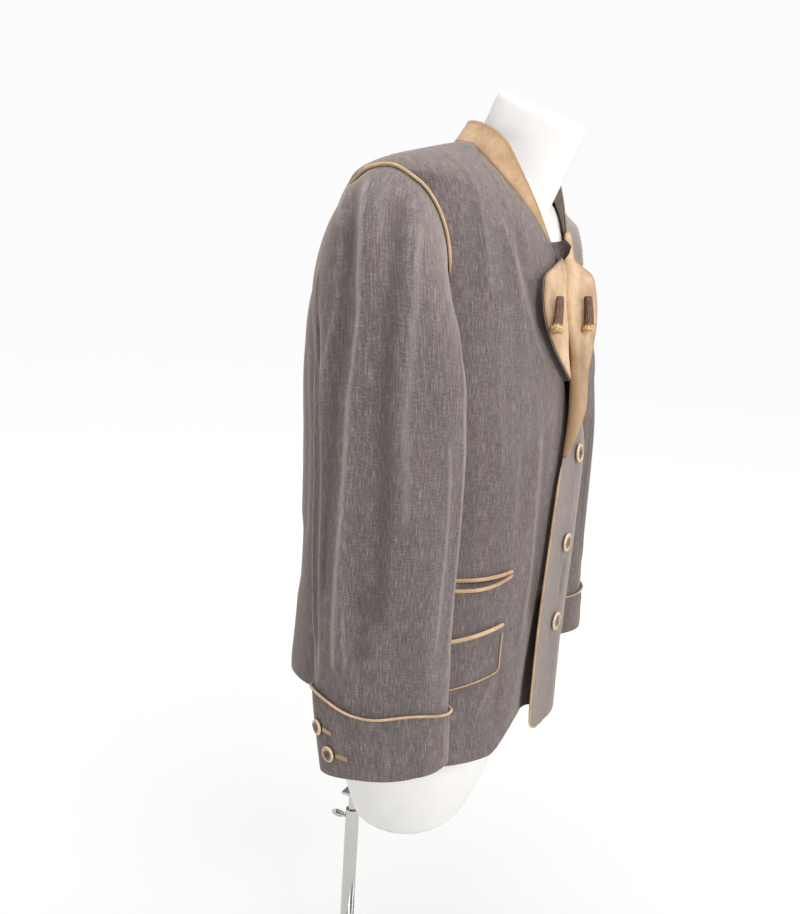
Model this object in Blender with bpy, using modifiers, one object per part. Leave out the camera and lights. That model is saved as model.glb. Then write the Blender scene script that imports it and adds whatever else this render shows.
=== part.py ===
"""Alpine jacket on a dress form with its stand.

Tables are in millimetres from the jacket's own zero: the hem line, midway between the side seams.
The front faces -Y, the wearer's left is +X and +Z is up. Everything rides on one empty above the base.
"""

import math
from collections import namedtuple

import bpy
import numpy as np
from mathutils import Vector

for old in list(bpy.data.objects):
    bpy.data.objects.remove(old, do_unlink=True)

MM = 0.001
HEM_ABOVE_FLOOR = 480
BASE_BEHIND_ZERO = 35
HEM_RISE = 62
HEM_RISE_FROM = 65
HEM_RISE_SPREAD = 45
RIGHT_HEM_RISE = -9
RIGHT_CORNER = 34
RIGHT_CORNER_FROM = 50
RIGHT_CORNER_TO = 115
LEFT_CORNER = 24
CLOTH = 2.0
LEATHER = 1.5
GAP = 0.4
SEAM = 0.6
RIGHT, LEFT = -1, 1

# The jacket's body as rings: where the side seam lies, and how far the front and the back reach.
Section = namedtuple("Section", "height half_width side_y front_y back_y front_power back_power")
BODY = (
    Section(0, 210, 22, -128, 198, 2.3, 2.8),
    Section(60, 208, 22, -129, 192, 2.3, 2.8),
    Section(140, 205, 22, -131, 186, 2.3, 2.8),
    Section(250, 203, 22, -137, 184, 2.3, 2.8),
    Section(365, 205, 22, -140, 187, 2.3, 2.8),
    Section(470, 208, 22, -130, 190, 2.3, 2.9),
    Section(540, 211, 22, -122, 182, 2.3, 3.0),
    Section(600, 216, 22, -114, 160, 2.2, 3.0),
    Section(645, 222, 22, -104, 141, 2.1, 3.0),
    Section(675, 229, 22, -90, 123, 2.0, 2.8),
    Section(693, 234, 22, -76, 107, 2.0, 2.5),
    Section(711, 197, 16, -62, 88, 2.0, 2.2),
    Section(727, 138, 5, -49, 61, 2.0, 2.0),
    Section(741, 79, -8, -40, 30, 2.0, 2.2),
)
# The front edges: how far each front passes the centre line, and how far the left lies out over the right.
Edge = namedtuple("Edge", "height right left lift")
FRONT_EDGE = (
    Edge(0, -10, 44, 14),
    Edge(60, 6, 44, 13.8),
    Edge(140, 14, 44, 13.5),
    Edge(250, 20, 44, 13),
    Edge(365, 20, 32, 12.5),
    Edge(418, 16, 10, 10.5),
    Edge(470, -6, -4, 8),
    Edge(604, -11, -11, 3),
    Edge(637, -42, -42, 0),
    Edge(693, -93, -93, 0),
    Edge(717, -104, -104, 0),
    Edge(729, -101, -101, 0),
    Edge(741, -77, -77, 0),
)
# The left edge drops back towards the right front by this share of its lift.
EDGE_DROOP = 0.4
# The armhole is an oval in side view; its steps are shared by the panels' rows and the sleeve's columns.
ARMHOLE_LOW = 470
ARMHOLE_TOP = 693
ARMHOLE_FRONT = 63
ARMHOLE_BACK = 87
ARMHOLE_STEPS = 12
# Each sleeve as rings below the armhole, and the soft folds that run down it.
Ring = namedtuple("Ring", "height centre_x centre_y half_width half_depth")
SLEEVE = (
    Ring(-10, 279, -38, 47, 71),
    Ring(104, 278, -26, 50, 79),
    Ring(232, 277, -21, 52, 85),
    Ring(365, 274, -18, 53, 88),
    Ring(440, 270, -11, 54, 88),
)
Fold = namedtuple("Fold", "turn spread depth bottom top")
SLEEVE_FOLDS = (
    Fold(300, 16, -7, 90, 600),
    Fold(327, 13, 4, 110, 560),
    Fold(352, 15, -4, 150, 520),
    Fold(75, 14, -5, 120, 430),
    Fold(130, 18, -6, 100, 420),
    Fold(220, 18, -6, 140, 470),
)
CUFF_LOW = 29
CUFF_SLANT = 16
CUFF_TOP = 106
CUFF_RISE = 10
CUFF_SAG = 15
CUFF_SAG_SPREAD = 30
CUFF_TUCK = 10
# The lapels: their width beyond the roll, and the roll's radius.
Lapel = namedtuple("Lapel", "height right left roll")
LAPELS = (
    Lapel(365, 0, 1, 1.6),
    Lapel(418, 0, 18, 5),
    Lapel(470, 9, 26, 4.5),
    Lapel(503, 55, 52, 4),
    Lapel(526, 79, 72, 4),
    Lapel(553, 89, 78, 4),
    Lapel(582, 66, 54, 4),
    Lapel(611, 5, 6, 3.5),
    Lapel(630, 0, 5, 2.5),
)
LAPEL_FLARE = {RIGHT: 4, LEFT: 17}
LAPEL_PARTS = (0.12, 0.35, 0.6, 0.8, 1)
# How far out on its lapel each toggle's lower and upper end lies.
TOGGLE_PARTS = {RIGHT: (0.94, 0.75), LEFT: (0.36, 0.4)}
# The collar band: its height along the neckline, by the height of the neckline there.
COLLAR_FRONT_HEIGHT = 2
COLLAR_BACK_HEIGHT = 31
COLLAR_LEAN = 0.62
NECK_TILT = 23
NECK_TOP_Y = -75
NECK_TOP_Z = 790
# The pocket slit and the patch below it, on each front, in height and in x on the panel.
Line = namedtuple("Line", "front_x front_height back_x back_height sag radius")
POCKET_LINES = {
    "pocket_lip_upper": Line(112, 231, 180, 226, 2, 2.4),
    "pocket_lip_lower": Line(112, 226, 180, 213, 5, 2.4),
    "patch_band": Line(119, 165, 186, 148, 0, 2.6),
}
PATCH_DEPTH = 61
PATCH_EDGE = 1.0
BUTTON_HEIGHTS = (140, 248, 365)
BUTTONHOLE_HEIGHT = 5
BUTTONHOLE_REACH = (8, 12, 16, 20)
PANEL_ROWS_BELOW = (0, 50, 95, 140, 194, 248, 306, 365, 418)
PANEL_ROWS_ABOVE = (705, 717, 729, 741)
FRONT_COLUMNS = (0, 0.025, 0.07, 0.14, 0.2, 0.3, 0.42, 0.55, 0.68, 0.81, 0.96, 1)
BACK_COLUMNS = (0, 0.015, 0.07, 0.14, 0.21, 0.28, 0.38, 0.5)
# The dress form, inside the jacket, and the stand.
FORM = (
    Section(-165, 100, 36, -30, 116, 2.2, 2.2),
    Section(-125, 120, 34, -48, 126, 2.2, 2.2),
    Section(-60, 147, 31, -68, 136, 2.2, 2.2),
    Section(0, 164, 29, -84, 140, 2.2, 2.2),
    Section(70, 168, 26, -94, 134, 2.2, 2.2),
    Section(150, 156, 23, -94, 120, 2.2, 2.2),
    Section(240, 148, 22, -98, 112, 2.2, 2.2),
    Section(340, 158, 22, -112, 122, 2.2, 2.2),
    Section(440, 174, 22, -120, 138, 2.2, 2.3),
    Section(530, 188, 22, -114, 144, 2.2, 2.4),
    Section(600, 194, 22, -106, 136, 2.15, 2.4),
    Section(645, 202, 22, -98, 117, 2.1, 2.4),
    Section(675, 208, 22, -84, 100, 2.0, 2.3),
    Section(692, 209, 22, -70, 88, 2.0, 2.2),
    Section(702, 203, 19, -62, 78, 2.0, 2.1),
    Section(711, 185, 16, -54, 67, 2.0, 2.0),
    Section(727, 126, 5, -41, 44, 2.0, 2.0),
    Section(736, 88, -4, -33, 27, 2.0, 2.0),
)
FORM_COLUMNS = 28
NECK_RADIUS = 62
NECK_LENGTH = 150
NECK_NARROWING = 0.8
TUBE_X = -15
TUBE_Y = 128
TUBE_TOP = -195
TUBE_RADIUS = 10
ROD_RADIUS = 6.5
BASE_RADIUS = 180
BASE_THICKNESS = 8


def new_collection(name):
    made = bpy.data.collections.new(name)
    bpy.context.scene.collection.children.link(made)
    return made


PARTS = new_collection("alpine_jacket_on_dress_form")
CUTTERS = new_collection("cutters")
CUTTERS.hide_render = True

ORIGIN = bpy.data.objects.new("jacket_zero", None)
ORIGIN.location = (0, -BASE_BEHIND_ZERO * MM, HEM_ABOVE_FLOOR * MM)
PARTS.objects.link(ORIGIN)


def material(name, colour, roughness, metallic=0.0):
    made = bpy.data.materials.new(name)
    made.use_nodes = True
    shader = made.node_tree.nodes["Principled BSDF"]
    shader.inputs["Base Color"].default_value = (*colour, 1)
    shader.inputs["Roughness"].default_value = roughness
    shader.inputs["Metallic"].default_value = metallic
    made.diffuse_color = (*colour, 1)
    return made


TAUPE_CLOTH = material("taupe_cloth", (0.2, 0.175, 0.16), 0.9)
TAN_LEATHER = material("tan_leather", (0.56, 0.36, 0.17), 0.7)
HORN = material("horn", (0.09, 0.05, 0.03), 0.45)
ANTLER = material("antler", (0.25, 0.15, 0.08), 0.6)
FORM_WHITE = material("form_white", (0.8, 0.8, 0.79), 0.4)
CHROME = material("chrome", (0.7, 0.7, 0.72), 0.15, 1.0)
BASE_STEEL = material("base_steel", (0.6, 0.6, 0.61), 0.35, 1.0)


def add_object(name, data, paint, collection=PARTS):
    made = bpy.data.objects.new(name, data)
    data.materials.append(paint)
    made.parent = ORIGIN
    collection.objects.link(made)
    return made


def between(rows, height, field):
    """A table's value at a height, on a smooth curve through its rows."""
    heights = [row.height for row in rows]
    values = [getattr(row, field) for row in rows]
    slopes = np.gradient(values, heights)
    low = min(max(int(np.searchsorted(heights, height)) - 1, 0), len(rows) - 2)
    span = heights[low + 1] - heights[low]
    t = min(max((height - heights[low]) / span, 0), 1)
    ease = t * t * (3 - 2 * t)
    bend = t * (1 - t) * ((1 - t) * slopes[low] - t * slopes[low + 1]) * span
    return values[low] * (1 - ease) + values[low + 1] * ease + bend


def straight(rows, height, field):
    """A table's value at a height, on straight lines between its rows."""
    return float(np.interp(height, [row.height for row in rows], [getattr(row, field) for row in rows]))


def smooth_step(value):
    t = min(max(value, 0), 1)
    return t * t * (3 - 2 * t)


def unit(vector):
    return vector / np.linalg.norm(vector)


def ring_point(rows, side, turn, height):
    """A point on a ringed body: turn 0 is centre front, 90 the side and 180 centre back."""
    half = "back" if turn > 90 else "front"
    power = between(rows, height, half + "_power")
    side_y = between(rows, height, "side_y")
    reach = between(rows, height, half + "_y") - side_y
    sine = math.sin(math.radians(turn))
    cosine = abs(math.cos(math.radians(turn)))
    x = between(rows, height, "half_width") * math.copysign(abs(sine) ** (2 / power), sine)
    return np.array([side * x, side_y + reach * cosine ** (2 / power), height])


def turn_at_x(height, x):
    """The turn on the front of the body where it lies this far out from the centre line."""
    power = between(BODY, height, "front_power")
    ratio = min(abs(x) / between(BODY, height, "half_width"), 1) ** (power / 2)
    return math.copysign(math.degrees(math.asin(ratio)), x)


def turn_at_y(height, y):
    side_y = between(BODY, height, "side_y")
    half = "front" if y < side_y else "back"
    ratio = (y - side_y) / (between(BODY, height, half + "_y") - side_y)
    turn = math.degrees(math.acos(min(ratio, 1) ** (between(BODY, height, half + "_power") / 2)))
    return turn if half == "front" else 180 - turn


def front_point(side, turn, height):
    """The outer face of a front; the left one is lifted where it laps over the right."""
    point = ring_point(BODY, side, turn, height)
    lift = straight(FRONT_EDGE, height, "lift") if side == LEFT else -2.0
    droop = EDGE_DROOP * smooth_step((8 - turn) / 18) if side == LEFT else 0
    point[1] -= lift * (smooth_step((45 - turn) / 38) - droop)
    return point


def front_normal(side, turn, height):
    across = front_point(side, turn + 1, height) - front_point(side, turn - 1, height)
    upward = front_point(side, turn, height + 4) - front_point(side, turn, height - 4)
    return unit(np.cross(across, upward) * side)


def body_normal(side, turn, height):
    across = ring_point(BODY, side, turn + 1, height) - ring_point(BODY, side, turn - 1, height)
    upward = ring_point(BODY, side, turn, height + 3) - ring_point(BODY, side, turn, height - 3)
    return unit(np.cross(across, upward) * side)


def armhole_height(turn):
    middle = (ARMHOLE_TOP + ARMHOLE_LOW) / 2
    return middle + (ARMHOLE_TOP - ARMHOLE_LOW) / 2 * math.cos(math.radians(turn))


def armhole_turn(height, half):
    """Where the armhole cuts the body's ring at this height, on its front or its back half."""
    middle = (ARMHOLE_TOP + ARMHOLE_LOW) / 2
    level = (height - middle) / (ARMHOLE_TOP - ARMHOLE_LOW) * 2
    reach = math.sqrt(max(1 - level * level, 0))
    side_y = between(BODY, height, "side_y")
    return turn_at_y(height, side_y - ARMHOLE_FRONT * reach if half == "front" else side_y + ARMHOLE_BACK * reach)


def hem_rise(turn, height):
    """How far the back's hem lies above the front's; the rise fades out up the panel."""
    return HEM_RISE * smooth_step((turn - HEM_RISE_FROM) / HEM_RISE_SPREAD) * max(1 - height / 306, 0)


ARMHOLE_ROWS = [armhole_height(180 * i / ARMHOLE_STEPS) for i in range(ARMHOLE_STEPS, -1, -1)]
PANEL_ROWS = [*PANEL_ROWS_BELOW, *ARMHOLE_ROWS, *PANEL_ROWS_ABOVE]


def spaced(points, fractions, trim_start=0.0, trim_end=0.0):
    """Points along a line of points at these fractions of its length, less a trim at each end."""
    points = np.array(points)
    run = np.concatenate([[0], np.cumsum(np.linalg.norm(np.diff(points, axis=0), axis=1))])
    marks = trim_start + np.array(fractions) * (run[-1] - trim_start - trim_end)
    return np.stack([np.interp(marks, run, points[:, k]) for k in range(3)], axis=1)


def sheet(name, grid, thickness, paint, closed=False):
    """A wall on a grid of outer points, rows by columns, thickened inward; closed joins its last column to its first."""
    grid = np.array(grid)
    rows, columns = grid.shape[:2]
    faces = []
    for i in range(rows - 1):
        for j in range(columns if closed else columns - 1):
            k = (j + 1) % columns
            faces.append((i * columns + j, i * columns + k, (i + 1) * columns + k, (i + 1) * columns + j))
    mesh = bpy.data.meshes.new(name)
    mesh.from_pydata((grid.reshape(-1, 3) * MM).tolist(), [], faces)
    made = add_object(name, mesh, paint)
    wall = made.modifiers.new("wall", "SOLIDIFY")
    wall.thickness = thickness * MM
    wall.offset = -1
    return made


def tube(name, points, radius, paint, closed=False):
    """A round strip along these points."""
    curve = bpy.data.curves.new(name, "CURVE")
    curve.dimensions = "3D"
    curve.bevel_depth = radius * MM
    curve.bevel_resolution = 1
    curve.use_fill_caps = True
    spline = curve.splines.new("POLY")
    spline.points.add(len(points) - 1)
    for place, point in zip(spline.points, points):
        place.co = (*(np.array(point) * MM), 1)
    spline.use_cyclic_u = closed
    return add_object(name, curve, paint)


def turned(name, profile, paint, place, axis, steps=12):
    """A solid turned about its axis from (radius, height) points that start and end on the axis."""
    mesh = bpy.data.meshes.new(name)
    points = [(radius * MM, 0, height * MM) for radius, height in profile]
    mesh.from_pydata(points, [(i, i + 1) for i in range(len(points) - 1)], [])
    made = add_object(name, mesh, paint)
    made.location = np.array(place) * MM
    made.rotation_mode = "QUATERNION"
    made.rotation_quaternion = Vector(axis).to_track_quat("Z", "Y")
    screw = made.modifiers.new("turn", "SCREW")
    screw.steps = steps
    screw.render_steps = steps
    screw.use_merge_vertices = True
    screw.merge_threshold = 0.00001
    screw.use_normal_flip = True
    return made


# Fronts: each row runs from the front edge, roll line or neckline to the side seam, armhole or shoulder seam.
def front_row(side, height):
    edge = straight(FRONT_EDGE, height, "right" if side == RIGHT else "left")
    start = turn_at_x(height, -edge)
    in_armhole = ARMHOLE_LOW < height < ARMHOLE_TOP
    end = armhole_turn(height, "front") if in_armhole else 90
    line = []
    for i in range(81):
        turn = start + (end - start) * i / 80
        shorter = RIGHT_HEM_RISE * max(1 - height / 95, 0) if side == RIGHT else 0
        line.append(front_point(side, turn, height + shorter + hem_rise(turn, height)))
    row = spaced(line, FRONT_COLUMNS, 0, 0 if in_armhole else SEAM / 2)
    for point in row:
        away = np.linalg.norm(point - row[0])
        if side == RIGHT:
            cut = RIGHT_CORNER * (1 - smooth_step((away - RIGHT_CORNER_FROM) / (RIGHT_CORNER_TO - RIGHT_CORNER_FROM)))
        else:
            inset = max(LEFT_CORNER - away, 0)
            cut = LEFT_CORNER - math.sqrt(LEFT_CORNER ** 2 - inset ** 2)
        point[2] += cut * max(1 - height / 95, 0)
    return row


FRONTS = {}
for side, name in ((RIGHT, "right_front"), (LEFT, "left_front")):
    FRONTS[side] = np.array([front_row(side, height) for height in PANEL_ROWS])
    sheet(name, FRONTS[side] if side == LEFT else FRONTS[side][:, ::-1], CLOTH, TAUPE_CLOTH)


# Back: the same rows from the right side seam round to the left one.
def back_row(height):
    in_armhole = ARMHOLE_LOW < height < ARMHOLE_TOP
    start = armhole_turn(height, "back") if in_armhole else 90
    line = []
    for i in range(81):
        turn = start + (180 - start) * i / 80
        line.append(ring_point(BODY, LEFT, turn, height + hem_rise(turn, height)))
    half = spaced(line, [2 * fraction for fraction in BACK_COLUMNS], 0 if in_armhole else SEAM / 2)
    return np.concatenate([half, half[-2::-1] * (-1, 1, 1)])


BACK = np.array([back_row(height) for height in PANEL_ROWS])
sheet("back", BACK, CLOTH, TAUPE_CLOTH)


# Sleeves: columns leave the armhole along the shoulder's slope and bend down into the rings.
def sleeve_point(side, turn, height):
    """Turn 0 is the outside, 90 the front, 180 the side next to the body and 270 the back."""
    power = 2.25
    sine = math.sin(math.radians(turn))
    cosine = math.cos(math.radians(turn))
    push = sum(fold_push(fold, turn, height) for fold in SLEEVE_FOLDS)
    across = between(SLEEVE, height, "half_width") + push
    along = between(SLEEVE, height, "half_depth") + push
    x = between(SLEEVE, height, "centre_x") + across * math.copysign(abs(cosine) ** (2 / power), cosine)
    y = between(SLEEVE, height, "centre_y") - along * math.copysign(abs(sine) ** (2 / power), sine)
    return np.array([side * x, y, height])


def fold_push(fold, turn, height):
    off = (turn - fold.turn + 180) % 360 - 180
    fade = smooth_step((height - fold.bottom) / 90) * smooth_step((fold.top - height) / 120)
    return fold.depth * fade * math.exp(-((off / fold.spread) ** 2))


def armhole_point(side, turn):
    height = armhole_height(turn)
    half = "front" if turn % 360 <= 180 else "back"
    return ring_point(BODY, side, armhole_turn(height, half), height)


def cap_point(side, turn, t):
    """Part t of the way from the armhole to the top ring."""
    leave = unit(np.array([side * 0.85, -0.15 - 0.2 * math.sin(math.radians(turn)), -0.4]))
    start = armhole_point(side, turn) + leave * SEAM
    end = sleeve_point(side, turn, SLEEVE[-1].height)
    reach = np.linalg.norm(end - start)
    first = start + leave * reach * 0.4
    second = end + np.array([0, 0, reach * 0.42])
    return start * (1 - t) ** 3 + first * 3 * t * (1 - t) ** 2 + second * 3 * t * t * (1 - t) + end * t ** 3


def cuff_bottom(turn):
    return CUFF_LOW + CUFF_SLANT * math.sin(math.radians(turn))


def cuff_top(turn):
    from_outside = (turn + 180) % 360 - 180
    sag = CUFF_SAG * math.exp(-((from_outside / CUFF_SAG_SPREAD) ** 2))
    return CUFF_TOP + CUFF_RISE * math.cos(math.radians(turn)) - sag


SLEEVE_TURNS = [360 * i / (2 * ARMHOLE_STEPS) for i in range(2 * ARMHOLE_STEPS)]
CAP_STEPS = (0, 0.04, 0.18, 0.38, 0.6, 0.82)
ARM_STEPS = (0, 0.15, 0.3, 0.45, 0.6, 0.75, 0.9, 1)


def sleeve_column(side, turn):
    top, bottom = SLEEVE[-1].height, cuff_top(turn) - CUFF_TUCK
    cap = [cap_point(side, turn, t) for t in CAP_STEPS]
    return cap + [sleeve_point(side, turn, top + (bottom - top) * t) for t in ARM_STEPS]


def cuff_point(side, turn, t):
    """On the cuff's outer face, t from its top edge to its bottom edge."""
    height = cuff_top(turn) + (cuff_bottom(turn) - cuff_top(turn)) * t
    point = sleeve_point(side, turn, height)
    centre = np.array([side * between(SLEEVE, height, "centre_x"), between(SLEEVE, height, "centre_y"), height])
    return point + unit(point - centre) * (CLOTH + GAP + 0.4)


CUFF_STEPS = (0, 0.2, 0.42, 0.7, 1)
for side, name in ((RIGHT, "right"), (LEFT, "left")):
    order = -1 if side == RIGHT else 1
    sleeve = np.array([sleeve_column(side, turn) for turn in SLEEVE_TURNS[::order]]).transpose(1, 0, 2)
    sheet(name + "_sleeve", sleeve, CLOTH, TAUPE_CLOTH, closed=True)
    cuff = np.array([[cuff_point(side, turn, t) for turn in SLEEVE_TURNS[::order]] for t in CUFF_STEPS])
    sheet(name + "_cuff", cuff, CLOTH, TAUPE_CLOTH, closed=True)


# Lapels: the front rolls outward at its edge and lies back on the chest, leather side out.
def lapel_section(side, height):
    key = "right" if side == RIGHT else "left"
    width = straight(LAPELS, height, key)
    roll = straight(LAPELS, height, "roll")
    start = turn_at_x(height, -straight(FRONT_EDGE, height, key))
    edge = front_point(side, start, height)
    out = front_normal(side, start, height)
    ahead = unit(edge - front_point(side, start + 2, height))
    points = []
    for angle in (0, 40, 80, 120, 160):
        bend = math.radians(angle)
        points.append(edge + ahead * (SEAM + roll * math.sin(bend)) + out * roll * (1 - math.cos(bend)))
    line = [front_point(side, start + 50 * i / 60, height) for i in range(61)]
    for part in LAPEL_PARTS:
        at = spaced(line, [0])[0] if width == 0 else along_line(line, width * part)
        turn = turn_at_x(height, side * at[0])
        lift = 2 * roll + LAPEL_FLARE[side] * (width / 80) * part * part
        points.append(at + front_normal(side, turn, height) * lift)
    return np.array(points)


def along_line(line, distance):
    points = np.array(line)
    run = np.concatenate([[0], np.cumsum(np.linalg.norm(np.diff(points, axis=0), axis=1))])
    return np.array([np.interp(distance, run, points[:, k]) for k in range(3)])


LAPEL_GRIDS = {}
for side, name, low in ((RIGHT, "right_lapel", 470), (LEFT, "left_lapel", 365)):
    heights = [height for height in PANEL_ROWS if low <= height < 625] + ([630] if side == LEFT else [])
    LAPEL_GRIDS[side] = np.array([lapel_section(side, height) for height in heights])
    sheet(name, LAPEL_GRIDS[side][:, ::-side], LEATHER, TAN_LEATHER)


# Collar: a band that stands on the neckline and leans in, leather outside and cloth inside.
def neck_axis_y(height):
    return NECK_TOP_Y + math.tan(math.radians(NECK_TILT)) * (NECK_TOP_Z - height)


def neckline():
    rows = [i for i, height in enumerate(PANEL_ROWS) if height > 630]
    right = [FRONTS[RIGHT][i, 0] for i in rows]
    behind = list(BACK[-1][-4:2:-1])
    left = [FRONTS[LEFT][i, 0] for i in rows[::-1]]
    return np.array(right + behind + left)


NECKLINE = neckline()
COLLAR = {"outer": [], "inner": []}
RUNS = np.array([unit(step) for step in np.diff(NECKLINE, axis=0)])
for i, foot in enumerate(NECKLINE):
    tangent = unit(RUNS[max(i - 1, 0)] + RUNS[min(i, len(RUNS) - 1)])
    inward = unit(np.array([-foot[0], neck_axis_y(foot[2]) - foot[1], 0]))
    lean = COLLAR_LEAN * smooth_step((foot[1] + 90) / 110)
    rise = unit(inward * lean + np.array([0, 0, 1]))
    rise = unit(rise - tangent * (rise @ tangent))
    inside = unit(np.cross(tangent, rise))
    tall = min((foot[2] - 630) / 88, 1) ** 0.9
    height = COLLAR_FRONT_HEIGHT + (COLLAR_BACK_HEIGHT - COLLAR_FRONT_HEIGHT) * tall
    steps = [foot + rise * (SEAM + height * t) for t in (0, 0.35, 0.7, 1)]
    COLLAR["outer"].append(steps)
    COLLAR["inner"].append([point + inside * (LEATHER + 3 * GAP) for point in steps])
sheet("collar_leather", np.array(COLLAR["outer"])[::-1].transpose(1, 0, 2), LEATHER, TAN_LEATHER)
sheet("collar_lining", np.array(COLLAR["inner"])[::-1].transpose(1, 0, 2), LEATHER, TAUPE_CLOTH)


# Piping: round strips on the armhole seams, the cuffs' top edges and the left front's edge.
for side, name in ((RIGHT, "right"), (LEFT, "left")):
    around = []
    for turn in [*SLEEVE_TURNS[-7:], *SLEEVE_TURNS[:7]]:
        along = armhole_point(side, turn + 3) - armhole_point(side, turn - 3)
        on_cap = unit(np.cross(along, cap_point(side, turn, 0.04) - cap_point(side, turn, 0)) * side)
        height = armhole_height(turn)
        body_turn = armhole_turn(height, "front" if turn <= 180 else "back")
        around.append(armhole_point(side, turn) + unit(on_cap + body_normal(side, body_turn, height)) * 3.6)
    tube(name + "_armhole_piping", around, 2.0, TAN_LEATHER)
    rim = [cuff_point(side, turn, 0) for turn in SLEEVE_TURNS]
    centre = np.mean(rim, axis=0)
    tube(
        name + "_cuff_piping",
        [point + unit((point - centre) * (1, 1, 0)) * 1.9 for point in rim],
        1.4,
        TAN_LEATHER,
        closed=True,
    )

edge_rows = [i for i, height in enumerate(PANEL_ROWS) if height <= 365]
edge_line = [FRONTS[LEFT][i, 0] + (-2.0, 0.8, 0) for i in edge_rows]
edge_line[-1] = edge_line[-2] * 0.1 + edge_line[-1] * 0.9
tube("front_edge_piping", edge_line, 1.5, TAN_LEATHER)


# Pockets: two leather lips and a patch on each front, made from the front's own points moved out.
def on_front(side, x, height, out):
    turn = turn_at_x(height, x)
    return front_point(side, turn, height) + front_normal(side, turn, height) * out


for side, name in ((RIGHT, "right_"), (LEFT, "left_")):
    for key, line in POCKET_LINES.items():
        points = []
        for i in range(9):
            t = i / 8
            height = line.front_height + (line.back_height - line.front_height) * t - line.sag * math.sin(math.pi * t)
            x = line.front_x + (line.back_x - line.front_x) * t
            points.append(on_front(side, x, height, line.radius + 0.5 + (2.4 if key == "patch_band" else 0)))
        tube(name + key, points, line.radius, TAN_LEATHER)
    band = POCKET_LINES["patch_band"]
    grid = []
    for drop in (0, 0.33, 0.67, 1):
        row = []
        for i in range(11):
            t = i / 10
            height = band.front_height + (band.back_height - band.front_height) * t - PATCH_DEPTH * drop
            row.append(on_front(side, band.front_x + (band.back_x - band.front_x) * t, height, 1.9))
        grid.append(row)
    sheet(name + "patch", np.array(grid)[:, ::-side], 1.4, TAUPE_CLOTH)
    rim = []
    for t, drop in ((0, 0.2), (0, 0.6), (0, 1), (0.2, 1), (0.4, 1), (0.6, 1), (0.8, 1), (1, 1)):
        height = band.front_height + (band.back_height - band.front_height) * t - PATCH_DEPTH * drop
        x = band.front_x + (band.back_x - band.front_x) * t
        rim.append(on_front(side, x, height, 2.4 + PATCH_EDGE))
    tube(name + "patch_edge", rim, PATCH_EDGE, TAN_LEATHER)


# Buttons and toggles.
BUTTON = ((0, 0), (4, 0), (4, 1.2), (10.8, 1.7), (12.5, 3.2), (11.6, 5), (6, 5.8), (0, 6))
CUFF_BUTTON = ((0, 0), (3.2, 0), (3.2, 1), (8.2, 1.5), (9.4, 2.8), (8.5, 4.3), (4, 4.9), (0, 5))
for count, height in enumerate(BUTTON_HEIGHTS, 1):
    row = PANEL_ROWS.index(height)
    place = FRONTS[LEFT][row, 3]
    out = front_normal(LEFT, turn_at_x(height, place[0]), height)
    turned(f"front_button_{count}", BUTTON, HORN, place + out * 0.35, out)
for side, name in ((RIGHT, "right"), (LEFT, "left")):
    for count, (turn, t) in enumerate(((315, 0.42), (330, 0.7)), 1):
        place = cuff_point(side, turn, t)
        across = cuff_point(side, turn + 15, t) - cuff_point(side, turn - 15, t)
        down = cuff_point(side, turn, min(t + 0.2, 1)) - cuff_point(side, turn, t - 0.2)
        out = unit(np.cross(across, down) * side)
        turned(f"{name}_cuff_button_{count}", CUFF_BUTTON, HORN, place + out * 0.5, out)
        bar = []
        for up in (-BUTTONHOLE_HEIGHT / 2, BUTTONHOLE_HEIGHT / 2):
            step = up / (cuff_top(turn) - cuff_bottom(turn))
            bar.append([cuff_point(side, turn + reach, t - step) + out * 1.6 for reach in BUTTONHOLE_REACH])
        sheet(f"{name}_buttonhole_{count}", np.array(bar)[:, ::-side], 1.0, TAN_LEATHER)
    face = LAPEL_GRIDS[side]
    heights = [height for height in PANEL_ROWS if (470 if side == RIGHT else 365) <= height < 625]
    low, high = (
        np.array([np.interp(part, LAPEL_PARTS, face[heights.index(row), 5:, k]) for k in range(3)])
        for part, row in zip(TOGGLE_PARTS[side], ARMHOLE_ROWS[4:6])
    )
    run = unit(high - low)
    beside = face[heights.index(ARMHOLE_ROWS[5])]
    out = unit(np.cross(beside[8] - beside[6], run))
    out = out * math.copysign(1, -out[1])
    TOGGLE = ((0, 0), (7.9, 0.5), (8.6, 3), (6.4, 6.5), (5.6, 24), (5, 41), (3.5, 44), (0, 44.5))
    turned(f"{name}_toggle", TOGGLE, ANTLER, (low + high) / 2 - run * 22 + out * (8.8 + LEATHER), run, steps=10)


# The dress form: a ringed torso joined to a leaning neck.
def form_torso():
    heights = [row.height for row in FORM]
    turns = [360 * i / FORM_COLUMNS for i in range(FORM_COLUMNS)]
    points = []
    for height in heights:
        for turn in turns:
            side = LEFT if turn <= 180 else RIGHT
            points.append(ring_point(FORM, side, turn if turn <= 180 else 360 - turn, height) * MM)
    count = FORM_COLUMNS
    faces = [tuple(range(count - 1, -1, -1))]
    for i in range(len(heights) - 1):
        for j in range(count):
            k = (j + 1) % count
            faces.append((i * count + j, i * count + k, (i + 1) * count + k, (i + 1) * count + j))
    top = (len(heights) - 1) * count
    faces.append(tuple(range(top, top + count)))
    mesh = bpy.data.meshes.new("dress_form")
    mesh.from_pydata([point.tolist() for point in points], [], faces)
    return add_object("dress_form", mesh, FORM_WHITE)


def cylinder(name, radius, length, place, paint, tilt=0, sides=24, collection=PARTS):
    """A round bar whose middle is at place, tipped about the x axis."""
    bpy.ops.mesh.primitive_cylinder_add(vertices=sides, radius=radius * MM, depth=length * MM)
    made = bpy.context.object
    for holder in list(made.users_collection):
        holder.objects.unlink(made)
    made.name = name
    made.data.materials.append(paint)
    made.location = np.array(place) * MM
    made.rotation_euler = (math.radians(tilt), 0, 0)
    made.parent = ORIGIN
    collection.objects.link(made)
    return made


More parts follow.
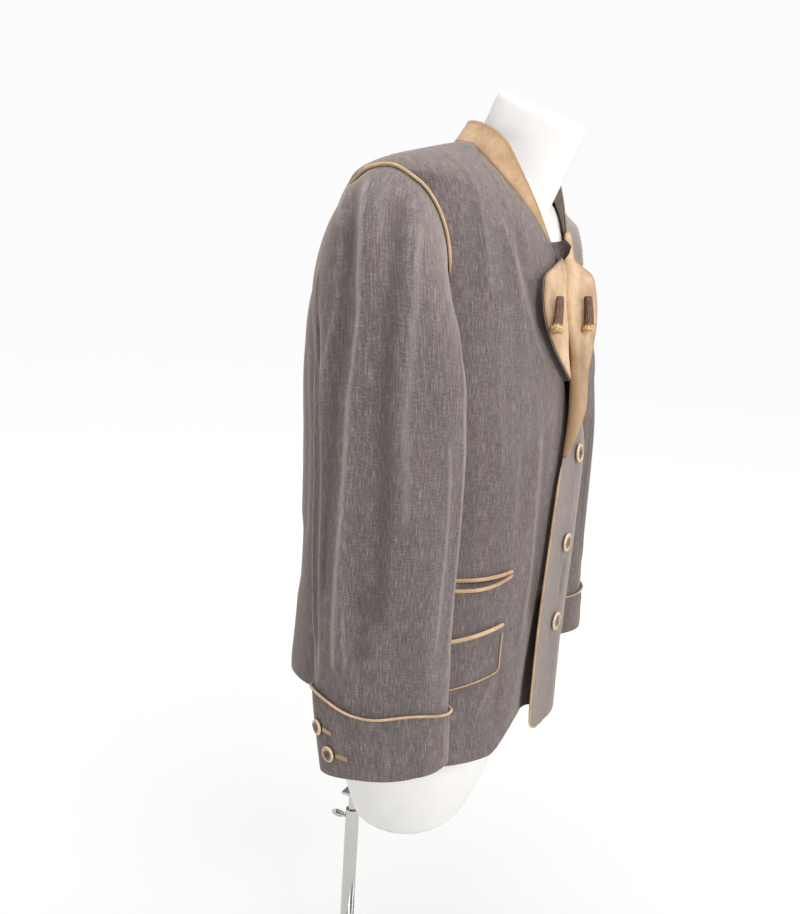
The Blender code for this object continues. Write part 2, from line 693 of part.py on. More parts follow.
def join(target, other):
    """Joins a second shape to the target; the second stays among the cutters."""
    union = target.modifiers.new("join_" + other.name, "BOOLEAN")
    union.operation = "UNION"
    union.solver = "EXACT"
    union.object = other
    other.display_type = "WIRE"
    other.hide_render = True


torso = form_torso()
tilt = math.radians(NECK_TILT)
middle = (0, NECK_TOP_Y + NECK_LENGTH / 2 * math.sin(tilt), NECK_TOP_Z - NECK_LENGTH / 2 * math.cos(tilt))
neck = cylinder("neck", NECK_RADIUS, NECK_LENGTH, middle, FORM_WHITE, tilt=NECK_TILT, sides=32, collection=CUTTERS)
neck.scale = (NECK_NARROWING, 1, 1)
join(torso, neck)

# The stand: a strap under the form, a rod in a tube with a wing screw, a socket and a base plate.
FLOOR = -HEM_ABOVE_FLOOR
bpy.ops.mesh.primitive_cube_add(size=MM)
strap = bpy.context.object
for holder in list(strap.users_collection):
    holder.objects.unlink(strap)
strap.name = "form_strap"
strap.data.materials.append(BASE_STEEL)
strap.scale = (30, 90, 4)
strap.location = Vector((TUBE_X, TUBE_Y - 33, FORM[0].height - GAP - 2)) * MM
strap.parent = ORIGIN
PARTS.objects.link(strap)
strap_bottom = FORM[0].height - GAP - 4
rod_length = 220
cylinder("rod", ROD_RADIUS, rod_length, (TUBE_X, TUBE_Y, strap_bottom - GAP - rod_length / 2), CHROME)
base_top = FLOOR + BASE_THICKNESS
tube_bottom = base_top + GAP
TUBE_WALL = (
    (ROD_RADIUS + 0.5, 0),
    (TUBE_RADIUS, 0),
    (TUBE_RADIUS, TUBE_TOP - tube_bottom),
    (ROD_RADIUS + 0.5, TUBE_TOP - tube_bottom),
    (ROD_RADIUS + 0.5, 0),
)
turned("stand_tube", TUBE_WALL, CHROME, (TUBE_X, TUBE_Y, tube_bottom), (0, 0, 1), steps=24)
SOCKET = (
    (TUBE_RADIUS + 0.4, 0),
    (30, 0),
    (30, 4),
    (18, 8),
    (18, 30),
    (TUBE_RADIUS + 0.4, 30),
    (TUBE_RADIUS + 0.4, 0),
)
turned("base_socket", SOCKET, BASE_STEEL, (TUBE_X, TUBE_Y, base_top + GAP), (0, 0, 1), steps=24)
base_middle = (0, BASE_BEHIND_ZERO, FLOOR + BASE_THICKNESS / 2)
cylinder("base_plate", BASE_RADIUS, BASE_THICKNESS, base_middle, BASE_STEEL, sides=64)
SCREW = ((0, 0), (3, 0), (3, 8), (4.5, 9), (4.5, 16), (0, 16))
screw_place = np.array((TUBE_X, TUBE_Y + TUBE_RADIUS + GAP, TUBE_TOP - 14))
wing_screw = turned("wing_screw", SCREW, CHROME, screw_place, (0, 1, 0), steps=12)
wing = cylinder("wing", 11, 2.6, screw_place + (0, 12.5, 0), CHROME, sides=16, collection=CUTTERS)
wing.scale = (0.5, 1, 1)
wing.rotation_euler = (0, math.radians(90), 0)
join(wing_screw, wing)
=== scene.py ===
import math
from collections import namedtuple

import bpy
import numpy as np
from mathutils import Matrix, Vector


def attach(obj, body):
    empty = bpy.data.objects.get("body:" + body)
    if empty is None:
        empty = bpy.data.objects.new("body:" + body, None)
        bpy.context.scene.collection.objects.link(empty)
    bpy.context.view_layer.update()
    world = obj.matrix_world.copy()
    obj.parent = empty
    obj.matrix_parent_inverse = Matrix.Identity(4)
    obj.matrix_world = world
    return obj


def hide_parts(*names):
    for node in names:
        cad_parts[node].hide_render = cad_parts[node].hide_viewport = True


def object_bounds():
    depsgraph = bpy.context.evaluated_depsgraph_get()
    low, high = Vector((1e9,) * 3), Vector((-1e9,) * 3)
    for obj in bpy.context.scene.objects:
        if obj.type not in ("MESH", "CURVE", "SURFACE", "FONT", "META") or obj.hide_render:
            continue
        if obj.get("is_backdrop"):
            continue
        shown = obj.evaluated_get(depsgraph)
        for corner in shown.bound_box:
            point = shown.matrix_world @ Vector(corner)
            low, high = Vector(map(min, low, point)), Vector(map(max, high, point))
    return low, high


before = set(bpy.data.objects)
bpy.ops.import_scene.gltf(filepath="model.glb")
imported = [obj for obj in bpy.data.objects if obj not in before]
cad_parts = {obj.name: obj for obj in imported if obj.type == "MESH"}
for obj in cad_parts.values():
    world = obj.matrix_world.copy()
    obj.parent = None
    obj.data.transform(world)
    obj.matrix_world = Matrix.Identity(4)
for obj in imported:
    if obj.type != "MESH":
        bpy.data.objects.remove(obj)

cad_box = [[float(value) for value in corner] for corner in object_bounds()]

# Studio: a pale floor that runs out to white, soft light from all round with a stronger side at the jacket's front,
# and a camera that stands a little above the cuffs, at the wearer's right.
CAMERA_PLACE = (-1.295, -0.525, 1.055)
CAMERA_YAW, CAMERA_PITCH, CAMERA_ROLL = 65.79, -9.77, 3.39
CAMERA_FOCUS_PIXELS, PICTURE_HEIGHT = 1044.5, 914


def linear(colour):
    """An sRGB hex colour as the linear numbers that shaders use."""
    parts = [int(colour[i:i + 2], 16) / 255 for i in (1, 3, 5)]
    return (*[part / 12.92 if part <= 0.04045 else ((part + 0.055) / 1.055) ** 2.4 for part in parts], 1)


def give(tree, made, inputs):
    """Gives a node's inputs their values, or links them to other nodes' outputs."""
    for name, value in inputs.items():
        if isinstance(value, bpy.types.NodeSocket):
            tree.links.new(value, made.inputs[name])
        else:
            made.inputs[name].default_value = value


def node(tree, kind, inputs=None, **settings):
    """Adds a node: settings are its own, and each input takes a value or another node's output."""
    made = tree.nodes.new(kind)
    for name, value in settings.items():
        setattr(made, name, value)
    give(tree, made, inputs or {})
    return made


def new_material(name):
    made = bpy.data.materials.new(name)
    made.use_nodes = True
    return made, made.node_tree, made.node_tree.nodes["Principled BSDF"]


studio = bpy.context.scene
studio.view_settings.view_transform = "Standard"
lens = bpy.data.cameras.new("photo_view")
lens.sensor_fit = "VERTICAL"
lens.sensor_height = 36
lens.lens = CAMERA_FOCUS_PIXELS * 36 / PICTURE_HEIGHT
camera = bpy.data.objects.new("photo_view", lens)
studio.collection.objects.link(camera)
yaw, pitch, roll = (math.radians(angle) for angle in (CAMERA_YAW, CAMERA_PITCH, CAMERA_ROLL))
ahead = Vector((math.sin(yaw) * math.cos(pitch), math.cos(yaw) * math.cos(pitch), math.sin(pitch)))
level = Vector((math.cos(yaw), -math.sin(yaw), 0))
upright = level.cross(ahead)
stance = Matrix((
    level * math.cos(roll) + upright * math.sin(roll),
    upright * math.cos(roll) - level * math.sin(roll),
    -ahead,
)).transposed().to_4x4()
stance.translation = CAMERA_PLACE
camera.matrix_world = stance
studio.camera = camera

world = bpy.data.worlds.new("studio_white")
world.use_nodes = True
tree = world.node_tree
seen = node(tree, "ShaderNodeLightPath").outputs["Is Camera Ray"]
strength = node(tree, "ShaderNodeMapRange", {0: seen, 3: 0.28, 4: 0.97})
give(tree, tree.nodes["Background"], {"Color": linear("#ffffff"), "Strength": strength.outputs[0]})
studio.world = world
for name, place, size, power in (
    ("key_softbox", (-1.9, -2.4, 2.2), 0.9, 70),
    ("top_softbox", (-0.2, -0.2, 4.0), 2.2, 112),
    ("rim_softbox", (-1.6, 2.6, 1.8), 1.0, 20),
    ("far_softbox", (1.7, -2.6, 1.7), 1.2, 32),
):
    lamp = bpy.data.lights.new(name, "AREA")
    lamp.size = size
    lamp.energy = power
    holder = bpy.data.objects.new(name, lamp)
    holder.location = place
    holder.rotation_euler = (Vector((0, 0, 0.85)) - Vector(place)).to_track_quat("-Z", "Y").to_euler()
    studio.collection.objects.link(holder)

# White studio floor: a matt sheet that is lit through from below, more so further out, so that it stays white.
floor_paint, tree, shader = new_material("lit_white_floor_sheet")
spot = node(tree, "ShaderNodeTexCoord").outputs["Object"]
spots = node(tree, "ShaderNodeTexNoise", {"Vector": spot, "Scale": 3.0, "Detail": 2.0})
tone = node(tree, "ShaderNodeMix", {
    0: spots.outputs[0], 6: linear("#777775"), 7: linear("#7d7d7b")}, data_type="RGBA")
far_off = node(tree, "ShaderNodeVectorMath", {0: spot}, operation="LENGTH")
glow = node(tree, "ShaderNodeMapRange", {0: far_off.outputs["Value"], 1: 0.5, 2: 2.2, 3: 0.72, 4: 0.9})
give(tree, shader, {"Base Color": tone.outputs[2], "Roughness": 0.9,
                    "Emission Color": linear("#ffffff"), "Emission Strength": glow.outputs[0]})
FLOOR_REACH = 9.0
floor_mesh = bpy.data.meshes.new("floor")
floor_mesh.from_pydata(
    [(-FLOOR_REACH, -FLOOR_REACH, 0), (FLOOR_REACH, -FLOOR_REACH, 0),
     (FLOOR_REACH, FLOOR_REACH, 0), (-FLOOR_REACH, FLOOR_REACH, 0)], [], [(0, 1, 2, 3)])
floor_mesh.materials.append(floor_paint)
floor = bpy.data.objects.new("floor", floor_mesh)
studio.collection.objects.link(floor)
floor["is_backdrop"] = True

# Stand: a round steel plate with a turned socket, a chromed tube, and a rod inside it that a wing screw holds at its
# height. All turned or drawn metal; the plate is brushed steel, the tube, rod and screw are polished chrome.
MM = 0.001
HEM_ABOVE_FLOOR, BASE_BEHIND_ZERO = 480, 35
TUBE_X, TUBE_Y, TUBE_TOP = -15, 128, -195
TUBE_RADIUS, ROD_RADIUS = 10, 6.5
BASE_RADIUS, BASE_THICKNESS = 180, 8
FORM_UNDERSIDE, GAP = -165, 0.4


def placed(points):
    """Points of the jacket's own zero, in millimetres, as metres in the shared frame."""
    return np.asarray(points, float) * MM + np.array((0, -BASE_BEHIND_ZERO, HEM_ABOVE_FLOOR)) * MM


def unit(vectors):
    vectors = np.asarray(vectors, float)
    return vectors / (np.linalg.norm(vectors, axis=-1, keepdims=True) + 1e-12)


def add_piece(name, points, faces, material, body, nodes, smooth=True):
    """A piece's mesh from points in millimetres, riding a body in place of its CAD nodes."""
    mesh = bpy.data.meshes.new(name)
    mesh.from_pydata(placed(points).tolist(), [], [list(map(int, face)) for face in faces])
    mesh.materials.append(material)
    mesh.polygons.foreach_set("use_smooth", [smooth] * len(mesh.polygons))
    piece = bpy.data.objects.new(name, mesh)
    studio.collection.objects.link(piece)
    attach(piece, body)
    if nodes:
        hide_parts(*nodes)
    return piece


def turned(profile, steps):
    """A turned shape's points and faces about +Z from (radius, height) points; a radius of 0 closes a pole."""
    points, rings = [], []
    for radius, height in profile:
        if radius == 0:
            rings.append([len(points)] * steps)
            points.append((0, 0, height))
        else:
            rings.append(list(range(len(points), len(points) + steps)))
            angles = 2 * np.pi * np.arange(steps) / steps
            points.extend(zip(radius * np.cos(angles), radius * np.sin(angles), [height] * steps))
    faces = []
    for low, high in zip(rings, rings[1:]):
        for i in range(steps):
            k = (i + 1) % steps
            face = [low[i], low[k], high[k], high[i]]
            faces.append([v for n, v in enumerate(face) if v not in face[:n]])
    return np.array(points, float), faces


def rounded(profile, radius, steps=4):
    """A profile with its inner corners rounded off."""
    profile = [np.array(point, float) for point in profile]
    made = [profile[0]]
    for before, corner, after in zip(profile, profile[1:], profile[2:]):
        cut = min(radius, np.linalg.norm(before - corner) / 2.1, np.linalg.norm(after - corner) / 2.1)
        start = corner + unit(before - corner) * cut
        end = corner + unit(after - corner) * cut
        for t in np.linspace(0, 1, steps + 1):
            made.append(start * (1 - t) ** 2 + corner * 2 * t * (1 - t) + end * t * t)
    made.append(profile[-1])
    return [tuple(point) for point in made]


# Polished chrome plate on steel: a bright mirror with faint wiping marks.
chrome, tree, shader = new_material("polished_chrome_plate")
marks = node(tree, "ShaderNodeTexNoise", {
    "Vector": node(tree, "ShaderNodeMapping", {
        "Vector": node(tree, "ShaderNodeTexCoord").outputs["Object"], "Scale": (900, 900, 60)}).outputs[0],
    "Scale": 1.0, "Detail": 3.0})
shine = node(tree, "ShaderNodeMapRange", {0: marks.outputs[0], 3: 0.06, 4: 0.2})
give(tree, shader, {"Base Color": linear("#c4c1be"), "Metallic": 1.0, "Roughness": shine.outputs[0]})

# Brushed steel plate: fine straight scratches 0.5 mm apart, drawn at 2 mm so that they show.
brushed_steel, tree, shader = new_material("brushed_steel_plate")
brushing = node(tree, "ShaderNodeTexNoise", {
    "Vector": node(tree, "ShaderNodeMapping", {
        "Vector": node(tree, "ShaderNodeTexCoord").outputs["Object"], "Scale": (6, 500, 500)}).outputs[0],
    "Scale": 1.0, "Detail": 4.0})
shine = node(tree, "ShaderNodeMapRange", {0: brushing.outputs[0], 3: 0.26, 4: 0.44})
relief = node(tree, "ShaderNodeBump", {"Height": brushing.outputs[0], "Strength": 0.15, "Distance": 0.0002})
give(tree, shader, {"Base Color": linear("#c3c4c7"), "Metallic": 1.0, "Roughness": shine.outputs[0],
                    "Normal": relief.outputs[0]})

floor_level = -HEM_ABOVE_FLOOR
base_top = floor_level + BASE_THICKNESS
points, faces = turned(rounded(
    [(0, 0), (BASE_RADIUS, 0), (BASE_RADIUS, BASE_THICKNESS), (0, BASE_THICKNESS)], 2.2), 128)
add_piece("base_plate_dressed", points + (0, BASE_BEHIND_ZERO, floor_level), faces,
          brushed_steel, "stand", ["base_plate"])
bore = TUBE_RADIUS + 0.4
points, faces = turned(rounded(
    [(bore, 0), (30, 0), (30, 4), (18, 8), (18, 30), (bore, 30), (bore, 0)], 1.6), 64)
add_piece("base_socket_dressed", points + (TUBE_X, TUBE_Y, base_top + GAP), faces,
          brushed_steel, "stand", ["base_socket"])
tube_length = TUBE_TOP - base_top - GAP
bore = ROD_RADIUS + 0.5
points, faces = turned(rounded(
    [(bore, 0), (TUBE_RADIUS, 0), (TUBE_RADIUS, tube_length), (bore, tube_length), (bore, 0)], 0.9), 64)
add_piece("stand_tube_dressed", points + (TUBE_X, TUBE_Y, base_top + GAP), faces,
          chrome, "stand", ["stand_tube"])
rod_top = FORM_UNDERSIDE - 2 * GAP - 4
points, faces = turned(rounded([(0, -220), (ROD_RADIUS, -220), (ROD_RADIUS, 0), (0, 0)], 0.8), 48)
add_piece("rod_dressed", points + (TUBE_X, TUBE_Y, rod_top), faces, chrome, "form_and_jacket", ["rod"])
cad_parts["form_strap"].material_slots[0].material = brushed_steel
stud, stud_faces = turned(rounded([(0, 0), (3, 0), (3, 8), (4.5, 9), (4.5, 16), (0, 16)], 0.8), 40)
wing, wing_faces = turned(rounded([(0, -1.3), (11, -1.3), (11, 1.3), (0, 1.3)], 1.2), 48)
wing = np.stack([wing[:, 2], wing[:, 1], -wing[:, 0] * 0.5], axis=1)
screw_points = np.concatenate([stud[:, (0, 2, 1)] * (-1, 1, 1), wing + (0, 12.5, 0)])
screw_faces = stud_faces + [[v + len(stud) for v in face] for face in wing_faces]
add_piece("wing_screw_dressed", screw_points + (TUBE_X, TUBE_Y + TUBE_RADIUS + GAP, TUBE_TOP - 14), screw_faces,
          chrome, "wing_screw", ["wing_screw"])

# Dress form: a smooth hollow torso without limbs, moulded in white plastic, with a leaning neck block whose top is
# cut off at a slant. It stands on the rod by a strap, and the jacket hangs on its shoulders.
Section = namedtuple("Section", "height half_width side_y front_y back_y front_power back_power")
FORM = (
    Section(-165, 100, 36, -30, 116, 2.2, 2.2),
    Section(-125, 120, 34, -48, 126, 2.2, 2.2),
    Section(-60, 147, 31, -68, 136, 2.2, 2.2),
    Section(0, 164, 29, -84, 140, 2.2, 2.2),
    Section(70, 168, 26, -94, 134, 2.2, 2.2),
    Section(150, 156, 23, -94, 120, 2.2, 2.2),
    Section(240, 148, 22, -98, 112, 2.2, 2.2),
    Section(340, 158, 22, -112, 122, 2.2, 2.2),
    Section(440, 174, 22, -120, 138, 2.2, 2.3),
    Section(530, 188, 22, -114, 144, 2.2, 2.4),
    Section(600, 194, 22, -106, 136, 2.15, 2.4),
    Section(645, 202, 22, -98, 117, 2.1, 2.4),
    Section(675, 208, 22, -84, 100, 2.0, 2.3),
    Section(692, 209, 22, -70, 88, 2.0, 2.2),
    Section(702, 203, 19, -62, 78, 2.0, 2.1),
    Section(711, 185, 16, -54, 67, 2.0, 2.0),
    Section(727, 126, 5, -41, 44, 2.0, 2.0),
    Section(736, 88, -4, -33, 27, 2.0, 2.0),
)
NECK_TILT, NECK_TOP_Y, NECK_TOP_Z = 23, -75, 790
NECK_RADIUS, NECK_LENGTH, NECK_NARROWING = 62, 150, 0.8
FORM_VOXEL, FORM_SMOOTHING = 4.5, 10
RIGHT, LEFT = -1, 1


def between(rows, height, field):
    """A table's values at these heights, on a smooth curve through its rows."""
    heights = np.array([row.height for row in rows], float)
    values = np.array([getattr(row, field) for row in rows], float)
    slopes = np.gradient(values, heights)
    low = np.clip(np.searchsorted(heights, height) - 1, 0, len(rows) - 2)
    span = heights[low + 1] - heights[low]
    t = np.clip((height - heights[low]) / span, 0, 1)
    ease = t * t * (3 - 2 * t)
    bend = t * (1 - t) * ((1 - t) * slopes[low] - t * slopes[low + 1]) * span
    return values[low] * (1 - ease) + values[low + 1] * ease + bend


def ring_point(rows, side, turn, height):
    """Points on a ringed body: turn 0 is centre front, 90 the side and 180 centre back."""
    turn, height = np.broadcast_arrays(np.asarray(turn, float), np.asarray(height, float))
    back = turn > 90
    power = np.where(back, between(rows, height, "back_power"), between(rows, height, "front_power"))
    side_y = between(rows, height, "side_y")
    reach = np.where(back, between(rows, height, "back_y"), between(rows, height, "front_y")) - side_y
    sine, cosine = np.sin(np.radians(turn)), np.abs(np.cos(np.radians(turn)))
    x = between(rows, height, "half_width") * np.sign(sine) * np.abs(sine) ** (2 / power)
    return np.stack([side * x, side_y + reach * cosine ** (2 / power), height], axis=-1)


def settle(piece):
    """Makes a piece's mesh what its modifiers give, and drops them."""
    bpy.context.view_layer.update()
    shaped = bpy.data.meshes.new_from_object(piece.evaluated_get(bpy.context.evaluated_depsgraph_get()))
    piece.modifiers.clear()
    piece.data = shaped


# Moulded white plastic: satin, very slightly uneven under the light.
form_white, tree, shader = new_material("moulded_white_plastic")
waves = node(tree, "ShaderNodeTexNoise", {
    "Vector": node(tree, "ShaderNodeTexCoord").outputs["Object"], "Scale": 40.0, "Detail": 3.0})
tone = node(tree, "ShaderNodeMix", {
    0: waves.outputs[0], 6: linear("#e2dfdd"), 7: linear("#e9e7e5")}, data_type="RGBA")
relief = node(tree, "ShaderNodeBump", {"Height": waves.outputs[0], "Strength": 0.08, "Distance": 0.0006})
give(tree, shader, {"Base Color": tone.outputs[2], "Normal": relief.outputs[0], "Roughness": 0.42})

form_heights = np.concatenate([np.arange(-165, 690, 15), np.arange(690, 737, 3.5), [736]])
form_turns = np.arange(0, 360, 3.75)
folded = np.where(form_turns <= 180, form_turns, 360 - form_turns)
sides = np.where(form_turns <= 180, LEFT, RIGHT)
torso = ring_point(FORM, 1, folded[None, :], form_heights[:, None])
torso[..., 0] *= sides[None, :]
count = len(form_turns)
torso_faces = [list(range(count - 1, -1, -1))]
for i in range(len(form_heights) - 1):
    for j in range(count):
        k = (j + 1) % count
        torso_faces.append([i * count + j, i * count + k, (i + 1) * count + k, (i + 1) * count + j])
torso_faces.append([(len(form_heights) - 1) * count + j for j in range(count)])
neck, neck_faces = turned(rounded(
    [(0, 0), (NECK_RADIUS, 0), (NECK_RADIUS, NECK_LENGTH), (0, NECK_LENGTH)], 5), 72)
tilt = math.radians(NECK_TILT)
neck = neck * (NECK_NARROWING, 1, 1) - (0, 0, NECK_LENGTH)
neck = np.stack([
    neck[:, 0],
    neck[:, 1] * math.cos(tilt) - neck[:, 2] * math.sin(tilt) + NECK_TOP_Y,
    neck[:, 1] * math.sin(tilt) + neck[:, 2] * math.cos(tilt) + NECK_TOP_Z,
], axis=1)
torso = torso.reshape(-1, 3)
form = add_piece(
    "dress_form_smooth", np.concatenate([torso, neck]),
    torso_faces + [[v + len(torso) for v in face] for face in neck_faces],
    form_white, "form_and_jacket", ["dress_form"])
joined = form.modifiers.new("joined", "REMESH")
joined.mode = "VOXEL"
joined.voxel_size = FORM_VOXEL * MM
joined.use_smooth_shade = True
sanded = form.modifiers.new("sanded", "SMOOTH")
sanded.factor = 0.5
sanded.iterations = FORM_SMOOTHING
settle(form)

# Fronts and back: the jacket's body, cut in a linen and wool cloth and sewn at the sides and shoulders. Each panel
# hangs from the shoulders in soft vertical folds; the left front laps over the right and buttons on it.
BODY = (
    Section(0, 210, 22, -128, 198, 2.3, 2.8),
    Section(60, 208, 22, -129, 192, 2.3, 2.8),
    Section(140, 205, 22, -131, 186, 2.3, 2.8),
    Section(250, 203, 22, -137, 184, 2.3, 2.8),
    Section(365, 205, 22, -140, 187, 2.3, 2.8),
    Section(470, 208, 22, -130, 190, 2.3, 2.9),
    Section(540, 211, 22, -122, 182, 2.3, 3.0),
    Section(600, 216, 22, -114, 160, 2.2, 3.0),
    Section(645, 222, 22, -104, 141, 2.1, 3.0),
    Section(675, 229, 22, -90, 123, 2.0, 2.8),
    Section(693, 234, 22, -76, 107, 2.0, 2.5),
    Section(711, 197, 16, -62, 88, 2.0, 2.2),
    Section(727, 138, 5, -49, 61, 2.0, 2.0),
    Section(741, 79, -8, -40, 30, 2.0, 2.2),
)
Edge = namedtuple("Edge", "height right left lift")
FRONT_EDGE = (
    Edge(0, -10, 44, 14),
    Edge(60, 6, 44, 13.8),
    Edge(140, 14, 44, 13.5),
    Edge(250, 20, 44, 13),
    Edge(365, 20, 32, 12.5),
    Edge(418, 16, 10, 10.5),
    Edge(470, -6, -4, 8),
    Edge(604, -11, -11, 3),
    Edge(637, -42, -42, 0),
    Edge(693, -93, -93, 0),
    Edge(717, -104, -104, 0),
    Edge(729, -101, -101, 0),
    Edge(741, -77, -77, 0),
)
ARMHOLE_LOW, ARMHOLE_TOP, ARMHOLE_FRONT, ARMHOLE_BACK = 470, 693, 63, 87
HEM_RISE, HEM_RISE_FROM, HEM_RISE_SPREAD, HEM_RISE_TOP = 62, 65, 45, 306
RIGHT_HEM_RISE = -9
EDGE_DROOP, DROOP_ENDS, DROOP_SPREAD = 0.4, 8, 18
RIGHT_LIFT, LIFT_ENDS, LIFT_SPREAD = -2.0, 45, 38
RIGHT_CORNER, RIGHT_CORNER_FROM, RIGHT_CORNER_TO, RIGHT_CORNER_TOP = 34, 50, 115, 95
LEFT_CORNER = 24
CLOTH_THICKNESS, SEAM, EDGE_REACH = 1.6, 0.6, 2.5
FRONT_COLUMNS, BACK_COLUMNS = 96, 150
Crease = namedtuple("Crease", "depth width path")
# Creases: depth out of the panel, half-width, then points (distance from the centre line, height).
FRONT_CREASES = {
    RIGHT: (
        Crease(2.6, 7, ((141, 665), (132, 624), (117, 576), (90, 510), (55, 468))),
        Crease(-2.4, 12, ((124, 665), (112, 610), (92, 560), (66, 505))),
        Crease(1.8, 6, ((160, 700), (164, 648), (161, 600), (156, 540))),
        Crease(2.0, 5, ((118, 690), (124, 640), (122, 588), (112, 530), (104, 480))),
        Crease(-1.8, 9, ((142, 640), (138, 580), (128, 510), (124, 450))),
        Crease(1.8, 6, ((150, 560), (146, 500), (148, 430), (140, 340))),
        Crease(-1.6, 10, ((175, 690), (180, 620), (176, 540))),
        Crease(2.6, 6, ((80, 410), (84, 360), (81, 306), (73, 198), (78, 115))),
        Crease(-2.6, 13, ((62, 420), (63, 330), (58, 230), (52, 140))),
        Crease(-2.2, 14, ((108, 400), (108, 330), (104, 262))),
        Crease(1.8, 6, ((118, 420), (124, 350), (119, 280))),
        Crease(2.2, 7, ((120, 108), (133, 78), (150, 40))),
        Crease(-2.2, 11, ((106, 120), (112, 70), (118, 20))),
        Crease(1.6, 9, ((70, 90), (84, 40), (92, 5))),
        # The right front's edge pressed in under the left front's overlap; its dark tone is the overlap's shadow,
        # painted.
        Crease(-9, 24, ((34, 0), (30, 60), (16, 130), (4, 200))),
        # The pocket slit, pressed in; its dark tone is painted shade in the recess.
        Crease(-7.5, 5, ((110, 228), (130, 224), (152, 219), (182, 218))),
    ),
    LEFT: (
        Crease(2.4, 7, ((138, 668), (128, 618), (108, 560), (84, 505), (60, 470))),
        Crease(-2.2, 12, ((120, 660), (106, 596), (84, 540))),
        Crease(1.6, 6, ((163, 690), (166, 640), (158, 560))),
        Crease(2.2, 8, ((74, 400), (80, 320), (70, 210), (66, 90))),
        Crease(-2.4, 12, ((100, 410), (103, 340), (98, 258))),
        Crease(1.6, 9, ((146, 410), (150, 330), (148, 262))),
        Crease(-2.0, 12, ((110, 100), (116, 50), (120, 5))),
        Crease(1.4, 5, ((10, 345), (16, 300), (8, 262))),
        # A broad fold standing out at the top of the left front; its pale tone is a painted highlight.
        Crease(14, 26, ((70, 672), (88, 645), (100, 612), (106, 575))),
        Crease(-1.4, 6, ((20, 232), (12, 196), (18, 158))),
        # The pocket slit, pressed in; its dark tone is painted shade in the recess.
        Crease(-7.5, 5, ((110, 228), (130, 224), (152, 219), (182, 218))),
    ),
}
BACK_CREASES = (
    Crease(3.0, 13, ((-128, 640), (-122, 520), (-134, 380), (-140, 240))),
    Crease(-3.2, 16, ((-96, 600), (-90, 470), (-98, 340), (-104, 180))),
    Crease(2.2, 11, ((-62, 520), (-58, 420), (-66, 300))),
    Crease(-2.6, 18, ((-22, 420), (-14, 300), (-20, 120))),
    Crease(2.4, 12, ((18, 460), (26, 330), (20, 160))),
    Crease(-3.0, 15, ((74, 560), (70, 440), (82, 300), (88, 170))),
    Crease(3.2, 13, ((120, 630), (124, 500), (132, 360), (128, 220))),
    Crease(-2.0, 12, ((168, 520), (174, 400), (170, 260))),
    Crease(-2.0, 12, ((-170, 500), (-176, 380), (-168, 230))),
    Crease(1.8, 10, ((-40, 700), (0, 684), (44, 702))),
    Crease(-1.6, 12, ((-70, 668), (0, 650), (66, 670))),
    Crease(2.6, 14, ((-150, 190), (-156, 110), (-160, 50))),
    Crease(2.4, 15, ((150, 180), (154, 120), (166, 50))),
)
CREASE_END_PART, CREASE_END_MOST = 0.3, 34
RIDGE_POWER, TROUGH_POWER = 1.25, 2
# How narrow a ridge's painted highlight is, and the crease depth at which painted highlight and shade are full.
RIDGE_TONE_WIDTH, FULL_TONE_DEPTH = 0.42, 3.5
PUCKER_SEED = 11
# A painted highlight along the left front's edge and how far in it reaches; then how strongly the creases' painted
# highlight and shade show on the fronts and on the back.
EDGE_PAINTED_HIGHLIGHT, EDGE_HIGHLIGHT_REACH = {RIGHT: 0.0, LEFT: 0.9}, 70
FRONT_PAINTED_LIGHT, BACK_PAINTED_LIGHT = 0.65, 0.3


def smooth_step(values):
    t = np.clip(values, 0, 1)
    return t * t * (3 - 2 * t)


def turn_at_x(height, x):
    """The turn on the front of the body where it lies this far out from the centre line."""
    power = between(BODY, height, "front_power")
    ratio = np.minimum(np.abs(x) / between(BODY, height, "half_width"), 1) ** (power / 2)
    return np.sign(x) * np.degrees(np.arcsin(ratio))


def armhole_turn(height, half):
    """Where the armhole cuts the body's ring at these heights, on its front or its back half."""
    middle, tall = (ARMHOLE_TOP + ARMHOLE_LOW) / 2, (ARMHOLE_TOP - ARMHOLE_LOW) / 2
    reach = np.sqrt(np.maximum(1 - ((height - middle) / tall) ** 2, 0))
    ring = between(BODY, height, half + "_y") - between(BODY, height, "side_y")
    wide = -ARMHOLE_FRONT * reach if half == "front" else ARMHOLE_BACK * reach
    turn = np.degrees(np.arccos(np.clip(wide / ring, 0, 1) ** (between(BODY, height, half + "_power") / 2)))
    return turn if half == "front" else 180 - turn


def body_point(side, turn, height):
    return ring_point(BODY, side, turn, height)


def front_point(side, turn, height):
    """The outer face of a front; the left one is lifted where it laps over the right."""
    points = body_point(side, turn, height)
    heights = [row.height for row in FRONT_EDGE]
    lift = np.interp(points[..., 2], heights, [row.lift for row in FRONT_EDGE]) if side == LEFT else RIGHT_LIFT
    droop = EDGE_DROOP * smooth_step((DROOP_ENDS - np.asarray(turn)) / DROOP_SPREAD) if side == LEFT else 0
    points[..., 1] -= lift * (smooth_step((LIFT_ENDS - np.asarray(turn)) / LIFT_SPREAD) - droop)
    return points


def way_out(shape, side, turn, height, rise):
    """The outward direction on a shape, from its points a degree to each side and this far up and down."""
    across = shape(side, turn + 1, height) - shape(side, turn - 1, height)
    upward = shape(side, turn, height + rise) - shape(side, turn, height - rise)
    return unit(np.cross(across, upward) * side)


def front_normal(side, turn, height):
    return way_out(front_point, side, turn, height, 4)


def hem_rise(turn, height):
    """How far the back's hem lies above the front's; the rise fades out up the panel."""
    return HEM_RISE * smooth_step((turn - HEM_RISE_FROM) / HEM_RISE_SPREAD) * max(1 - height / HEM_RISE_TOP, 0)


def run_of(points):
    """The length along each row of points, from its first point."""
    steps = np.linalg.norm(np.diff(points, axis=-2), axis=-1)
    return np.concatenate([np.zeros(steps.shape[:-1] + (1,)), np.cumsum(steps, axis=-1)], axis=-1)


